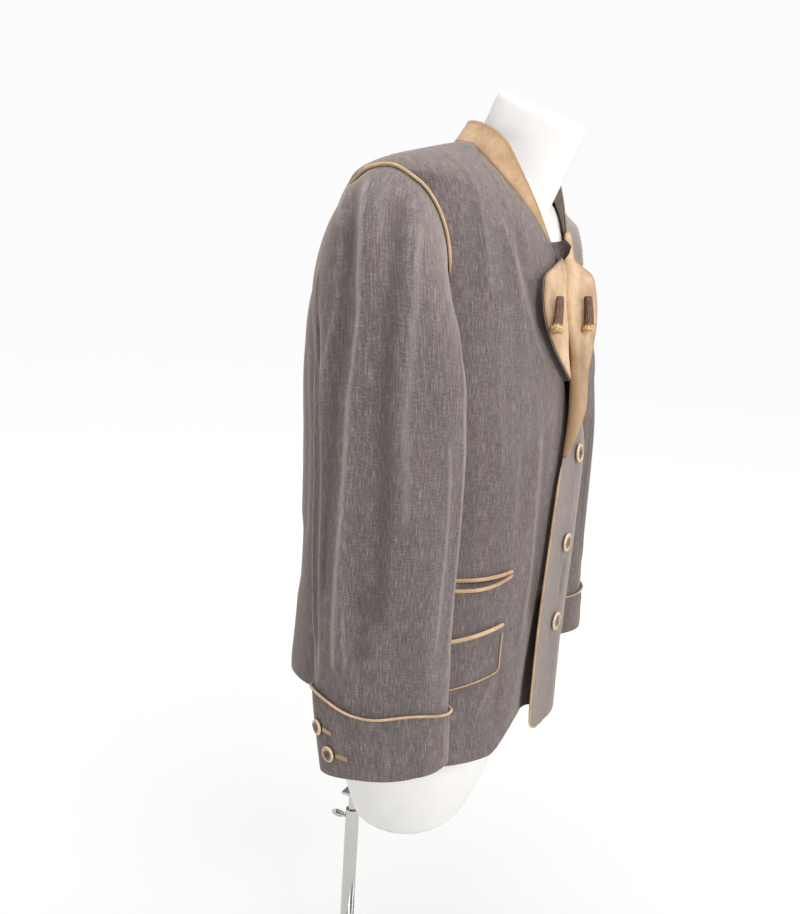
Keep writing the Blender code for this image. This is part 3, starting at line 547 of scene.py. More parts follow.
def crease_push(creases, places):
    """How far creases push a panel out at places (across, up): crisp ridges and soft troughs along their paths, faded
    at the ends; and the painted highlight (1) on their ridges and painted shade (-1) in their troughs."""
    push, tone = np.zeros(places.shape[:-1]), np.zeros(places.shape[:-1])
    for crease in creases:
        path = np.array(crease.path, float)
        starts = run_of(path)
        nearest, along = np.full(push.shape, 1e9), np.zeros(push.shape)
        for first, last, start in zip(path, path[1:], starts):
            step = last - first
            t = np.clip((places - first) @ step / (step @ step), 0, 1)
            off = np.linalg.norm(places - first - t[..., None] * step, axis=-1)
            along = np.where(off < nearest, start + t * np.linalg.norm(step), along)
            nearest = np.minimum(off, nearest)
        end = min(CREASE_END_PART * starts[-1], CREASE_END_MOST)
        fade = smooth_step(along / end) * smooth_step((starts[-1] - along) / end)
        ridge = crease.depth > 0
        push += crease.depth * fade * np.exp(-((nearest / crease.width) ** (RIDGE_POWER if ridge else TROUGH_POWER)))
        # Painted light along each crease: a narrow painted highlight on a ridge, a wider painted shade in a trough.
        spread = nearest / crease.width / (RIDGE_TONE_WIDTH if ridge else 1)
        tone += np.clip(crease.depth / FULL_TONE_DEPTH, -1, 1) * fade * np.exp(-(spread ** 2))
    return push, tone


def grid_normals(grid, closed=False):
    across = np.roll(grid, -1, 1) - np.roll(grid, 1, 1) if closed else np.gradient(grid, axis=1)
    return unit(np.cross(across, np.gradient(grid, axis=0)))


def wall(name, grid, thickness, material, nodes, weave=None, closed=False, painted_light_and_shade=None):
    """A sheet on a grid of outer points, rows upward by columns across, with a wall behind it and rounded edges.
    weave holds each point's place on the flat cloth in metres, and the last argument the painted highlight (above 0)
    and painted shade (below 0) at each point; closed joins the last column to the first."""
    grid = np.asarray(grid, float)
    rows, columns = grid.shape[:2]
    upward = unit(np.gradient(grid, axis=0))
    across = unit(np.gradient(grid, axis=1))
    inner = grid - grid_normals(grid, closed) * thickness
    away = np.zeros_like(grid)
    away[0] -= upward[0]
    away[-1] += upward[-1]
    if not closed:
        away[:, 0] -= across[:, 0]
        away[:, -1] += across[:, -1]
    rim = (grid + inner) / 2 + unit(away) * thickness * 0.5
    total = rows * columns
    number = np.arange(total).reshape(rows, columns)
    if closed:
        number = np.concatenate([number, number[:, :1]], axis=1)
    flat = np.arange(number.size).reshape(number.shape)

    def rims(ids):
        if closed:
            return [ids[0], ids[-1][::-1]]
        return [np.concatenate([ids[0, :-1], ids[:-1, -1], ids[-1, :0:-1], ids[::-1, 0]])]

    def squares(ids):
        return np.stack([ids[:-1, :-1], ids[:-1, 1:], ids[1:, 1:], ids[1:, :-1]], axis=-1).reshape(-1, 4)

    faces = [squares(number), squares(number)[:, ::-1] + total]
    corners = [squares(flat), squares(flat)[:, ::-1]]
    loops = rims(number)
    for loop, flat_loop in zip(loops, rims(flat)):
        for near, far in ((0, 2 * total), (2 * total, total)):
            faces.append(np.stack([loop[1:] + near, loop[:-1] + near, loop[:-1] + far, loop[1:] + far], axis=-1))
            corners.append(np.stack([flat_loop[1:], flat_loop[:-1], flat_loop[:-1], flat_loop[1:]], axis=-1))
    faces, corners = np.concatenate(faces), np.concatenate(corners)
    edge_points = np.unique(np.concatenate(loops))
    kept = np.concatenate([np.arange(2 * total), edge_points + 2 * total])
    renumber = np.zeros(3 * total, int)
    renumber[kept] = np.arange(len(kept))
    points = np.concatenate([grid.reshape(-1, 3), inner.reshape(-1, 3), rim.reshape(-1, 3)])[kept]
    piece = add_piece(name, points, renumber[faces], material, "form_and_jacket", nodes)
    if weave is not None:
        layer = piece.data.uv_layers.new(name="weave")
        layer.data.foreach_set("uv", weave.reshape(-1, 2)[corners].ravel())
    reach = np.minimum(run_of(grid.transpose(1, 0, 2)).T, run_of(grid[::-1].transpose(1, 0, 2)).T[::-1])
    if not closed:
        reach = np.minimum(reach, np.minimum(run_of(grid), run_of(grid[:, ::-1])[:, ::-1]))
    edge = np.exp(-reach.ravel() / EDGE_REACH)
    piece.data.attributes.new("edge", "FLOAT", "POINT").data.foreach_set(
        "value", np.concatenate([edge, edge, np.ones(total)])[kept])
    # The painted highlight and painted shade go to the materials as a point attribute.
    if painted_light_and_shade is not None:
        wear_and_painted_light = np.tile(painted_light_and_shade.ravel(), 3)
        piece.data.attributes.new("painted_light_and_shade", "FLOAT", "POINT").data.foreach_set("value", wear_and_painted_light[kept])
    return piece


def lengthwise(grid):
    """How far up the cloth each row of a panel lies, in millimetres, from the mean step between rows."""
    steps = np.linalg.norm(np.diff(grid, axis=0), axis=-1).mean(axis=1)
    return np.concatenate([[0], np.cumsum(steps)])


def declare(grid, closed=False):
    """Works out a sheet's widest row and longest column, and does nothing more with them."""
    if closed:
        grid = np.concatenate([grid, grid[:, :1]], axis=1)
    width, length = run_of(grid).max(), run_of(grid.transpose(1, 0, 2)).max()


# Linen and wool suiting: a plain weave of uneven yarns 0.5 mm apart, drawn about three times as coarse so that it
# shows. Warp slubs give pale and dark streaks that run with the length, weft slubs shorter ones across it. The ridges
# of the creases are painted paler, a painted highlight, and their troughs painted darker, a painted shade.
taupe_cloth, tree, shader = new_material("linen_and_wool_suiting")
flat_cloth = node(tree, "ShaderNodeUVMap", uv_map="weave").outputs[0]


def yarns(scale, detail=2.0, roughness=0.5):
    """Noise on the flat cloth, stretched along one set of yarns; scale is lines per metre across and along."""
    stretched = node(tree, "ShaderNodeMapping", {"Vector": flat_cloth, "Scale": (*scale, 1)})
    return node(tree, "ShaderNodeTexNoise", {
        "Vector": stretched.outputs[0], "Scale": 1.0, "Detail": detail, "Roughness": roughness}).outputs[0]


patches = node(tree, "ShaderNodeMapRange", {0: yarns((26, 9)), 1: 0.35, 2: 0.65})
ground = node(tree, "ShaderNodeMix", {
    0: patches.outputs[0], 6: linear("#665b59"), 7: linear("#655d5e")}, data_type="RGBA")
pale = node(tree, "ShaderNodeMapRange", {0: yarns((640, 64)), 1: 0.46, 2: 0.78, 3: 0.0, 4: 0.55})
streaked = node(tree, "ShaderNodeMix", {
    0: pale.outputs[0], 6: ground.outputs[2], 7: linear("#9a908c")}, data_type="RGBA")
deep = node(tree, "ShaderNodeMapRange", {0: yarns((540, 76)), 1: 0.46, 2: 0.76, 3: 0.0, 4: 0.6})
shaded = node(tree, "ShaderNodeMix", {
    0: deep.outputs[0], 6: streaked.outputs[2], 7: linear("#4b4342")}, data_type="RGBA")
weft = node(tree, "ShaderNodeMapRange", {0: yarns((100, 560)), 1: 0.5, 2: 0.8, 3: 0.0, 4: 0.28})
crossed = node(tree, "ShaderNodeMix", {
    0: weft.outputs[0], 6: shaded.outputs[2], 7: linear("#9d9592")}, data_type="RGBA")
specks = node(tree, "ShaderNodeMapRange", {0: yarns((640, 640), 1.0), 1: 0.35, 2: 0.65, 3: 0.82, 4: 1.16})
bands = node(tree, "ShaderNodeMapRange", {0: yarns((70, 5)), 1: 0.35, 2: 0.65, 3: 0.93, 4: 1.07})
uneven = node(tree, "ShaderNodeMath", {0: specks.outputs[0], 1: bands.outputs[0]}, operation="MULTIPLY")
speckled = node(tree, "ShaderNodeMix", {
    0: 1.0, 6: crossed.outputs[2], 7: uneven.outputs[0]}, data_type="RGBA", blend_type="MULTIPLY")
# Painted light: the ridges of the creases are painted paler (painted highlight) and their troughs darker (painted
# shade).
painted_light_and_shade = node(tree, "ShaderNodeAttribute", attribute_name="painted_light_and_shade").outputs["Fac"]
ridge_highlight = node(tree, "ShaderNodeMapRange", {0: painted_light_and_shade, 1: 0.1, 2: 1.0, 3: 0.0, 4: 0.5})
wear_and_painted_light = node(tree, "ShaderNodeMix", {
    0: ridge_highlight.outputs[0], 6: speckled.outputs[2], 7: linear("#a49a93")}, data_type="RGBA")
trough_shade = node(tree, "ShaderNodeMapRange", {0: painted_light_and_shade, 1: -0.1, 2: -1.0, 3: 0.0, 4: 0.5})
painted_crease_shade = node(tree, "ShaderNodeMix", {
    0: trough_shade.outputs[0], 6: wear_and_painted_light.outputs[2], 7: linear("#3f3937")}, data_type="RGBA")
heights = node(tree, "ShaderNodeMath", {0: yarns((760, 90)), 1: yarns((90, 760))}, operation="ADD")
relief = node(tree, "ShaderNodeBump", {"Height": heights.outputs[0], "Strength": 0.45, "Distance": 0.0005})
give(tree, shader, {
    "Base Color": painted_crease_shade.outputs[2], "Normal": relief.outputs[0], "Roughness": 0.92, "Specular IOR Level": 0.25,
    "Sheen Weight": 0.5, "Sheen Roughness": 0.4, "Sheen Tint": linear("#d6c6b8")})

armhole_steps = np.linspace(np.pi, 0, 61)
armhole_rows = (ARMHOLE_TOP + ARMHOLE_LOW) / 2 + (ARMHOLE_TOP - ARMHOLE_LOW) / 2 * np.cos(armhole_steps)
panel_rows = np.concatenate([np.arange(0, 470, 4.7), armhole_rows, np.linspace(693, 741, 15)[1:]])


def panel_row(side, height, half):
    """Turns and heights along a panel's row, evenly spaced from its front edge or centre back to its seam."""
    in_armhole = ARMHOLE_LOW < height < ARMHOLE_TOP
    end = float(armhole_turn(height, half)) if in_armhole else 90
    if half == "back":
        start, count = 180.0, BACK_COLUMNS // 2 + 1
    else:
        edge = float(between(FRONT_EDGE, height, "right" if side == RIGHT else "left"))
        start, count = float(turn_at_x(height, -edge)), FRONT_COLUMNS + 1
    turns = np.linspace(start, end, 200)
    levels = height + hem_rise(turns, height)
    shape = front_point if half == "front" else body_point
    if half == "front":
        away = run_of(shape(side, turns, levels))
        if side == RIGHT:
            part = (away - RIGHT_CORNER_FROM) / (RIGHT_CORNER_TO - RIGHT_CORNER_FROM)
            corner = RIGHT_CORNER * (1 - smooth_step(part)) + RIGHT_HEM_RISE
            levels = levels + corner * max(1 - height / RIGHT_CORNER_TOP, 0)
        else:
            curve = LEFT_CORNER - np.sqrt(LEFT_CORNER ** 2 - np.maximum(LEFT_CORNER - away, 0) ** 2)
            levels = levels + curve * max(1 - height / (1.5 * LEFT_CORNER), 0)
    run = run_of(shape(side, turns, levels))
    marks = np.linspace(0, run[-1] - (0 if in_armhole else SEAM / 2), count)
    return np.interp(marks, run, turns), np.interp(marks, run, levels), marks


def pucker_rows(seed, count, across, top, length):
    """Short uneven puckers below a seam: where they start across the panel, and the height of the seam there."""
    draw = np.random.default_rng(seed)
    made = []
    for place in np.linspace(*across, count):
        x = place + draw.uniform(-4, 4)
        tall = length * draw.uniform(0.6, 1.3)
        made.append(Crease(draw.uniform(-1.3, 1.3), draw.uniform(3.5, 6), ((x, top), (x - 6, top - tall))))
    return tuple(made)


FRONTS = {}
for side, name in ((RIGHT, "right_front"), (LEFT, "left_front")):
    rows = [panel_row(side, height, "front") for height in panel_rows]
    turns, levels, marks = (np.array(part) for part in zip(*rows))
    grid = front_point(side, turns, levels)
    out = grid_normals(grid) * side
    places = np.stack([grid[..., 0] * side, grid[..., 2]], axis=-1)
    creases = FRONT_CREASES[side] + pucker_rows(PUCKER_SEED + side, 13, (88, 218), 722, 46)
    seams = smooth_step(marks / 9) * smooth_step((marks[:, -1:] - marks) / 12)
    push, tone = crease_push(creases, places)
    # Painted light on the fronts: the creases' painted highlight and shade, and a painted highlight along the left
    # front's edge.
    tone = tone * FRONT_PAINTED_LIGHT + EDGE_PAINTED_HIGHLIGHT[side] * np.exp(-marks / EDGE_HIGHLIGHT_REACH)
    grid = grid + out * (push * seams)[..., None]
    FRONTS[side] = grid
    start_x = grid[:, :1, 0] * side
    flat = np.stack([marks + start_x, np.repeat(lengthwise(grid)[:, None], grid.shape[1], 1)], axis=-1) * MM
    order = slice(None) if side == LEFT else slice(None, None, -1)
    piece = wall(name + "_cloth", grid[:, order], CLOTH_THICKNESS, taupe_cloth, [name],
                 flat[:, order] + side, painted_light_and_shade=tone[:, order])
    declare(grid)

rows = [panel_row(LEFT, height, "back") for height in panel_rows]
turns, levels, marks = (np.array(part) for part in zip(*rows))
half = body_point(LEFT, turns, levels)
grid = np.concatenate([half[:, ::-1], half[:, 1:] * (-1, 1, 1)], axis=1)
across = np.concatenate([marks[:, ::-1], -marks[:, 1:]], axis=1)
out = grid_normals(grid)
places = np.stack([across, grid[..., 2]], axis=-1)
puckers = (pucker_rows(PUCKER_SEED + 5, 11, (90, 210), 724, 44)
           + pucker_rows(PUCKER_SEED + 6, 11, (-210, -90), 724, 44))
seams = smooth_step((marks[:, -1:] - np.abs(across)) / 12)
# The back's creases bring painted highlight and painted shade, shown more weakly than on the fronts.
push, tone = crease_push(BACK_CREASES + puckers, places)
BACK = grid + out * (push * seams)[..., None]
flat = np.stack([across, np.repeat(lengthwise(BACK)[:, None], BACK.shape[1], 1)], axis=-1) * MM
piece = wall("back_cloth", BACK, CLOTH_THICKNESS, taupe_cloth, ["back"], flat, painted_light_and_shade=tone * BACK_PAINTED_LIGHT)
declare(BACK)

# Sleeves: cut in the same cloth, eased into the armholes and hanging straight down. Long soft folds fall from the
# sleeve head down its back, a broad shallow one down its outside.
Ring = namedtuple("Ring", "height centre_x centre_y half_width half_depth")
SLEEVE = (
    Ring(-10, 279, -38, 47, 71),
    Ring(104, 278, -26, 50, 79),
    Ring(232, 277, -21, 52, 85),
    Ring(365, 274, -18, 53, 88),
    Ring(440, 270, -11, 54, 88),
)
Fold = namedtuple("Fold", "turn spread depth bottom top")
SLEEVE_FOLDS = (
    Fold(300, 16, -7, 90, 600),
    Fold(327, 13, 4, 110, 560),
    Fold(352, 15, -4, 150, 520),
    Fold(75, 14, -5, 120, 430),
    Fold(130, 18, -6, 100, 420),
    Fold(220, 18, -6, 140, 470),
)
SLEEVE_POWER = 2.25
SLEEVE_COLUMNS, SLEEVE_RADIUS = 240, 70
TURN_MM = 1.25
# Creases on the sleeve: depth, half-width in millimetres, then points (turn from the outside, height).
SLEEVE_CREASES = (
    Crease(5.0, 6, ((-9, 690), (-6, 612), (-6, 533), (-12, 453), (-15, 406), (-18, 340), (-21, 238), (-21, 130))),
    Crease(-5.5, 10, ((-20, 640), (-19, 540), (-25, 450), (-29, 390), (-33, 300), (-34, 210))),
    Crease(5.0, 5, ((-27, 690), (-22, 610), (-24, 535), (-34, 470), (-38, 420))),
    Crease(-3.0, 6, ((-17, 690), (-13, 620), (-14, 560))),
    Crease(2.2, 4, ((84, 560), (88, 440), (89, 300), (87, 140))),
    Crease(4.0, 5, ((-44, 590), (-62, 512), (-72, 398), (-72, 254), (-69, 150))),
    Crease(-3.6, 6, ((-52, 540), (-66, 470), (-79, 390), (-80, 260), (-76, 180))),
    Crease(2.6, 4, ((-84, 480), (-86, 380), (-85, 240))),
    Crease(-3.4, 9, ((24, 672), (18, 567), (12, 507), (9, 406), (9, 294), (11, 190))),
    Crease(2.0, 12, ((38, 650), (32, 540), (26, 420), (28, 300))),
    Crease(2.4, 5, ((-13, 235), (-14, 205), (-11, 160), (-12, 128))),
    Crease(-2.0, 9, ((-2, 260), (0, 200), (-1, 140))),
    Crease(1.6, 8, ((4, 690), (8, 640), (6, 590))),
    Crease(-1.4, 7, ((12, 690), (14, 640), (10, 600))),
    Crease(2.4, 8, ((66, 420), (70, 300), (66, 170))),
    Crease(-2.2, 9, ((100, 400), (104, 280), (98, 150))),
    Crease(2.2, 9, ((150, 380), (146, 260), (152, 150))),
    Crease(-2.4, 10, ((-150, 400), (-146, 280), (-152, 160))),
    Crease(2.2, 9, ((-120, 420), (-124, 300), (-118, 170))),
)


def wrapped(turn):
    return (np.asarray(turn, float) + 180) % 360 - 180


def sleeve_point(side, turn, height):
    """Turn 0 is the outside, 90 the front, 180 the side next to the body and 270 the back."""
    turn, height = np.broadcast_arrays(np.asarray(turn, float), np.asarray(height, float))
    push = np.zeros(turn.shape)
    for fold in SLEEVE_FOLDS:
        fade = smooth_step((height - fold.bottom) / 90) * smooth_step((fold.top - height) / 120)
        push += fold.depth * fade * np.exp(-((wrapped(turn - fold.turn) / fold.spread) ** 2))
    sine, cosine = np.sin(np.radians(turn)), np.cos(np.radians(turn))
    across = (between(SLEEVE, height, "half_width") + push) * np.sign(cosine) * np.abs(cosine) ** (2 / SLEEVE_POWER)
    along = (between(SLEEVE, height, "half_depth") + push) * np.sign(sine) * np.abs(sine) ** (2 / SLEEVE_POWER)
    x = between(SLEEVE, height, "centre_x") + across
    return np.stack([side * x, between(SLEEVE, height, "centre_y") - along, height], axis=-1)


def armhole_point(side, turn):
    turn = np.asarray(turn, float) % 360
    height = (ARMHOLE_TOP + ARMHOLE_LOW) / 2 + (ARMHOLE_TOP - ARMHOLE_LOW) / 2 * np.cos(np.radians(turn))
    body_turn = np.where(turn <= 180, armhole_turn(height, "front"), armhole_turn(height, "back"))
    return body_point(side, body_turn, height), body_turn


def cap_point(side, turn, t):
    """Part t of the way from the armhole to the top ring."""
    turn, t = np.broadcast_arrays(np.asarray(turn, float), np.asarray(t, float))
    zero = np.zeros(turn.shape)
    leave = unit(np.stack([side * 0.85 + zero, -0.15 - 0.2 * np.sin(np.radians(turn)), zero - 0.4], axis=-1))
    start = armhole_point(side, turn)[0] + leave * SEAM
    end = sleeve_point(side, turn, SLEEVE[-1].height)
    reach = np.linalg.norm(end - start, axis=-1, keepdims=True)
    first = start + leave * reach * 0.4
    second = end + np.array([0, 0, 1]) * reach * 0.42
    t = t[..., None]
    return start * (1 - t) ** 3 + first * 3 * t * (1 - t) ** 2 + second * 3 * t * t * (1 - t) + end * t ** 3


CUFF_LOW, CUFF_SLANT, CUFF_TOP, CUFF_RISE, CUFF_TUCK = 29, 16, 106, 10, 10
CUFF_SAG, CUFF_SAG_SPREAD = 15, 30


def cuff_bottom(turn):
    return CUFF_LOW + CUFF_SLANT * np.sin(np.radians(turn))


def cuff_top(turn):
    sag = CUFF_SAG * np.exp(-((wrapped(turn) / CUFF_SAG_SPREAD) ** 2))
    return CUFF_TOP + CUFF_RISE * np.cos(np.radians(turn)) - sag


def girth_places(turns, grid):
    """Each point's place on the flat sleeve in metres, with one more column where it closes."""
    around = np.radians(turns) * SLEEVE_RADIUS
    up = lengthwise(grid)
    wide = np.append(around, around[0] + np.sign(turns[-1] - turns[0]) * 2 * np.pi * SLEEVE_RADIUS)
    return np.stack(np.broadcast_arrays(wide[None, :], up[:, None]), axis=-1) * MM


CAP_PARTS = np.concatenate([[0, 0.015, 0.04], np.linspace(0.07, 0.97, 42)])
sleeve_turns = 360 * np.arange(SLEEVE_COLUMNS) / SLEEVE_COLUMNS
SLEEVES = {}
for side, name in ((RIGHT, "right_sleeve"), (LEFT, "left_sleeve")):
    turns = sleeve_turns[::-side]
    cap = cap_point(side, turns[None, :], CAP_PARTS[:, None])
    top, bottom = SLEEVE[-1].height, cuff_top(turns) - CUFF_TUCK
    down = np.linspace(0, 1, 70)[:, None]
    arm = sleeve_point(side, turns[None, :], top + (bottom[None, :] - top) * down)
    grid = np.concatenate([cap, arm])
    places = np.stack([np.broadcast_to(wrapped(turns) * TURN_MM, grid.shape[:2]), grid[..., 2]], axis=-1)
    creases = [crease._replace(path=[(turn * TURN_MM, height) for turn, height in crease.path])
               for crease in SLEEVE_CREASES]
    fade = smooth_step(np.arange(len(grid)) / 5)[:, None] * smooth_step((grid[..., 2] - bottom - 6) / 26)
    # The sleeve's creases bring their painted highlight and painted shade with their push.
    push, tone = (part[::-1] * fade[::-1] for part in crease_push(creases, places))
    grid = grid[::-1]
    SLEEVES[side] = grid + grid_normals(grid, closed=True) * push[..., None]
    piece = wall(name + "_cloth", SLEEVES[side], CLOTH_THICKNESS, taupe_cloth, [name],
                 girth_places(turns, grid) + side * 2, closed=True, painted_light_and_shade=tone)
    declare(SLEEVES[side], closed=True)

# Cuffs: a band of the same cloth turned up over each sleeve end, with a piped top edge that dips towards the back.
# It is stitched along its lower edge and buttons at the back.
CUFF_ROWS, CUFF_CLEAR = 22, 2.4
CUFF_CREASES = (
    Crease(1.2, 9, ((20, 20), (26, 60), (22, 100))),
    Crease(-1.2, 10, ((60, 20), (54, 60), (58, 104))),
    Crease(1.2, 8, ((-24, 30), (-20, 60), (-26, 100))),
    Crease(-1.0, 10, ((100, 30), (106, 60), (100, 100))),
    Crease(1.2, 10, ((-120, 24), (-114, 60), (-122, 100))),
    Crease(1.8, 4, ((105, 36), (106, 70), (105, 112))),
)


def cuff_point(side, turn, t):
    """On the cuff's outer face, t from its top edge to its bottom edge."""
    turn, t = np.broadcast_arrays(np.asarray(turn, float), np.asarray(t, float))
    height = cuff_top(turn) + (cuff_bottom(turn) - cuff_top(turn)) * t
    points = sleeve_point(side, turn, height)
    centre_x, centre_y = (between(SLEEVE, height, field) for field in ("centre_x", "centre_y"))
    return points + unit(points - np.stack([side * centre_x, centre_y, height], axis=-1)) * (CUFF_CLEAR + GAP)


CUFFS = {}
for side, name in ((RIGHT, "right_cuff"), (LEFT, "left_cuff")):
    turns = sleeve_turns[::-side]
    grid = cuff_point(side, turns[None, :], np.linspace(1, 0, CUFF_ROWS)[:, None])
    places = np.stack([np.broadcast_to(wrapped(turns) * TURN_MM, grid.shape[:2]), grid[..., 2]], axis=-1)
    rise = np.linspace(0, 1, CUFF_ROWS)[:, None]
    # The cuff's creases bring their painted highlight and painted shade with their push.
    push, tone = (part * smooth_step((1 - rise) / 0.3) for part in crease_push(CUFF_CREASES, places))
    CUFFS[side] = grid + grid_normals(grid, closed=True) * push[..., None]
    piece = wall(name + "_cloth", CUFFS[side], CLOTH_THICKNESS, taupe_cloth, [name],
                 girth_places(turns, grid) + side * 3, closed=True, painted_light_and_shade=tone)
    declare(CUFFS[side], closed=True)

# Lapels: the top of each front rolled outward and lying back on the chest. They are faced with tan nubuck, and the
# front's own cloth shows as a thin dark edge under it and as a curl at the top of the right one. On the left the roll
# runs on down to the top button, and a narrow nubuck facing runs up inside the neckline.
Lapel = namedtuple("Lapel", "height right left roll")
LAPELS = (
    Lapel(365, 0, 1, 1.6),
    Lapel(390, 0, 8, 3.6),
    Lapel(418, 0, 18, 5),
    Lapel(456, 1, 24, 4.6),
    Lapel(470, 17, 28, 4.5),
    Lapel(505, 57, 54, 4),
    Lapel(528, 78, 71, 4),
    Lapel(551, 89, 78, 4),
    Lapel(570, 88, 76, 4),
    Lapel(588, 72, 62, 4),
    Lapel(600, 30, 26, 3.7),
    Lapel(608, 4, 7, 3.5),
    Lapel(613, 3, 6, 3.2),
    Lapel(630, 2, 5, 2.5),
    Lapel(645, 2, 2.5, 1.4),
)
LAPEL_LOW, LAPEL_TOP = {RIGHT: 457, LEFT: 365}, {RIGHT: 608, LEFT: 643}
LAPEL_FLARE, LEATHER, UNDER_EDGE = {RIGHT: 4, LEFT: 17}, 1.4, 1.7
ROLL_ANGLES = np.radians(np.linspace(0, 165, 10))
CURL_HEIGHTS, CURL_RADII = (605, 612, 620, 628), (4.4, 9, 12, 10)
# Painted shade on the left lapel: none above the first height, full this far below it.
LAPEL_DARK_FROM, LAPEL_DARK_OVER = 540, 60
FLAT_PARTS = np.linspace(0.05, 1, 18)

# Nubuck: calf leather sanded to a short nap. Soft light and dark patches a few centimetres wide, a fine sanded
# grain, edges rubbed a little darker, and painted shade on the lower left lapel, deepest on its roll.
tan_leather, tree, shader = new_material("tan_nubuck_leather")
spot = node(tree, "ShaderNodeTexCoord").outputs["Object"]
clouds = node(tree, "ShaderNodeTexNoise", {"Vector": spot, "Scale": 26.0, "Detail": 4.0, "Roughness": 0.6})
cloudy = node(tree, "ShaderNodeMapRange", {0: clouds.outputs[0], 1: 0.34, 2: 0.66})
nap_tone = node(tree, "ShaderNodeMix", {
    0: cloudy.outputs[0], 6: linear("#a58562"), 7: linear("#cbab88")}, data_type="RGBA")
grain = node(tree, "ShaderNodeTexNoise", {"Vector": spot, "Scale": 700.0, "Detail": 3.0, "Roughness": 0.7})
grainy = node(tree, "ShaderNodeMapRange", {0: grain.outputs[0], 1: 0.3, 2: 0.7, 3: 0.86, 4: 1.12})
napped = node(tree, "ShaderNodeMix", {
    0: 1.0, 6: nap_tone.outputs[2], 7: grainy.outputs[0]}, data_type="RGBA", blend_type="MULTIPLY")
rubbed = node(tree, "ShaderNodeMath", {
    0: node(tree, "ShaderNodeAttribute", attribute_name="edge").outputs["Fac"], 1: 0.55}, operation="MULTIPLY")
wear_and_painted_light = node(tree, "ShaderNodeMix", {
    0: rubbed.outputs[0], 6: napped.outputs[2], 7: linear("#846647")}, data_type="RGBA")
# Painted shade on the left lapel's lower part, deepest on its rolled part.
painted_roll_shade = node(tree, "ShaderNodeMapRange", {
    0: node(tree, "ShaderNodeAttribute", attribute_name="painted_light_and_shade").outputs["Fac"], 1: 0.0, 2: -1.0, 3: 0.0, 4: 0.7})
darkened = node(tree, "ShaderNodeMix", {
    0: painted_roll_shade.outputs[0], 6: wear_and_painted_light.outputs[2], 7: linear("#735638")}, data_type="RGBA")
relief = node(tree, "ShaderNodeBump", {"Height": grain.outputs[0], "Strength": 0.3, "Distance": 0.0004})
give(tree, shader, {"Base Color": darkened.outputs[2], "Normal": relief.outputs[0], "Roughness": 0.85,
                    "Sheen Weight": 0.2, "Specular IOR Level": 0.25})


def lapel_row(side, height, extra=0.0, bend=None):
    """A lapel's outer face across one height: round the roll, then flat over the chest to its edge."""
    key = "right" if side == RIGHT else "left"
    width = max(float(between(LAPELS, height, key)), 0.4) + extra
    bend = bend or float(between(LAPELS, height, "roll"))
    start = float(turn_at_x(height, -float(between(FRONT_EDGE, height, key))))
    edge = front_point(side, start, height)
    out = front_normal(side, start, height)
    forward = unit(edge - front_point(side, start + 2, height))
    rolled = (edge + forward * (SEAM + bend * np.sin(ROLL_ANGLES))[:, None]
              + out * (bend * (1 - np.cos(ROLL_ANGLES)))[:, None])
    turns = np.linspace(start, start + 55, 120)
    run = run_of(front_point(side, turns, height))
    turn = np.interp(width * FLAT_PARTS, run, turns)
    lift = 2 * bend + LAPEL_FLARE[side] * (width / 80) * FLAT_PARTS ** 2
    lying = front_point(side, turn, height) + front_normal(side, turn, height) * lift[:, None]
    return np.concatenate([rolled, lying])


LAPEL_FACES = {}
for side, name in ((RIGHT, "right_lapel"), (LEFT, "left_lapel")):
    heights = np.concatenate([np.arange(LAPEL_LOW[side], 572, 4.0), np.arange(572, LAPEL_TOP[side] + 0.1, 1.5)])
    face = np.array([lapel_row(side, height) for height in heights])
    grid = face[:, ::side]
    grid = grid + grid_normals(grid) * (LEATHER + 0.1)
    LAPEL_FACES[side] = (heights, grid[:, ::side])
    # Painted shade on the left lapel: strongest on the roll, weaker towards the outer edge, growing towards the lower
    # end.
    across = np.interp(np.linspace(0, 1, grid.shape[1]), (0, 0.4, 1), (1, 0.9, 0.25))
    roll_shade_rows = smooth_step((LAPEL_DARK_FROM - heights) / LAPEL_DARK_OVER) * (side == LEFT)
    piece = wall(name + "_nubuck", grid, LEATHER, tan_leather, [name],
                 painted_light_and_shade=-roll_shade_rows[:, None] * across[None])
    declare(grid)
    under = np.array([lapel_row(side, height, UNDER_EDGE) for height in heights])[:, ::side]
    under = under - grid_normals(under) * 0.25
    flat = np.stack([np.broadcast_to(run_of(under).mean(axis=0), under.shape[:2]),
                     np.broadcast_to(heights[:, None], under.shape[:2])], axis=-1) * MM
    piece = wall(name + "_cloth", under, 0.9, taupe_cloth, [], flat)
    declare(under)

curl_rows = np.arange(CURL_HEIGHTS[0], CURL_HEIGHTS[-1], 1.5)
curl_bends = np.interp(curl_rows, CURL_HEIGHTS, CURL_RADII)
curl = np.array([lapel_row(RIGHT, height, bend=float(bend))[len(ROLL_ANGLES) - 1::-1]
                 for height, bend in zip(curl_rows, curl_bends)])
flat = np.stack(np.broadcast_arrays(run_of(curl).mean(axis=0)[None], curl_rows[:, None]), axis=-1) * MM
piece = wall("right_lapel_curl_cloth", curl, 0.9, taupe_cloth, [], flat)
declare(curl)

facing_rows = (panel_rows > 600) & (panel_rows < 668)
behind = FRONTS[LEFT] - grid_normals(FRONTS[LEFT]) * (CLOTH_THICKNESS + 1.2)
facing = behind[facing_rows][:, 9::-1]
piece = wall("left_neck_facing_nubuck", facing, 0.9, tan_leather, [])
declare(facing)

# Collar: a stand band on the neckline, tallest at the back and running to a point at each front. Nubuck outside,
# jacket cloth inside, sewn together along the edges.
COLLAR_FRONT_HEIGHT, COLLAR_BACK_HEIGHT, COLLAR_LEAN = 0.8, 31, 0.62
COLLAR_STARTS = {RIGHT: 622, LEFT: 640}
COLLAR_GROWS_FROM, COLLAR_GROWS_OVER, COLLAR_GROWTH = 624, 94, 0.95
COLLAR_STATIONS = 200

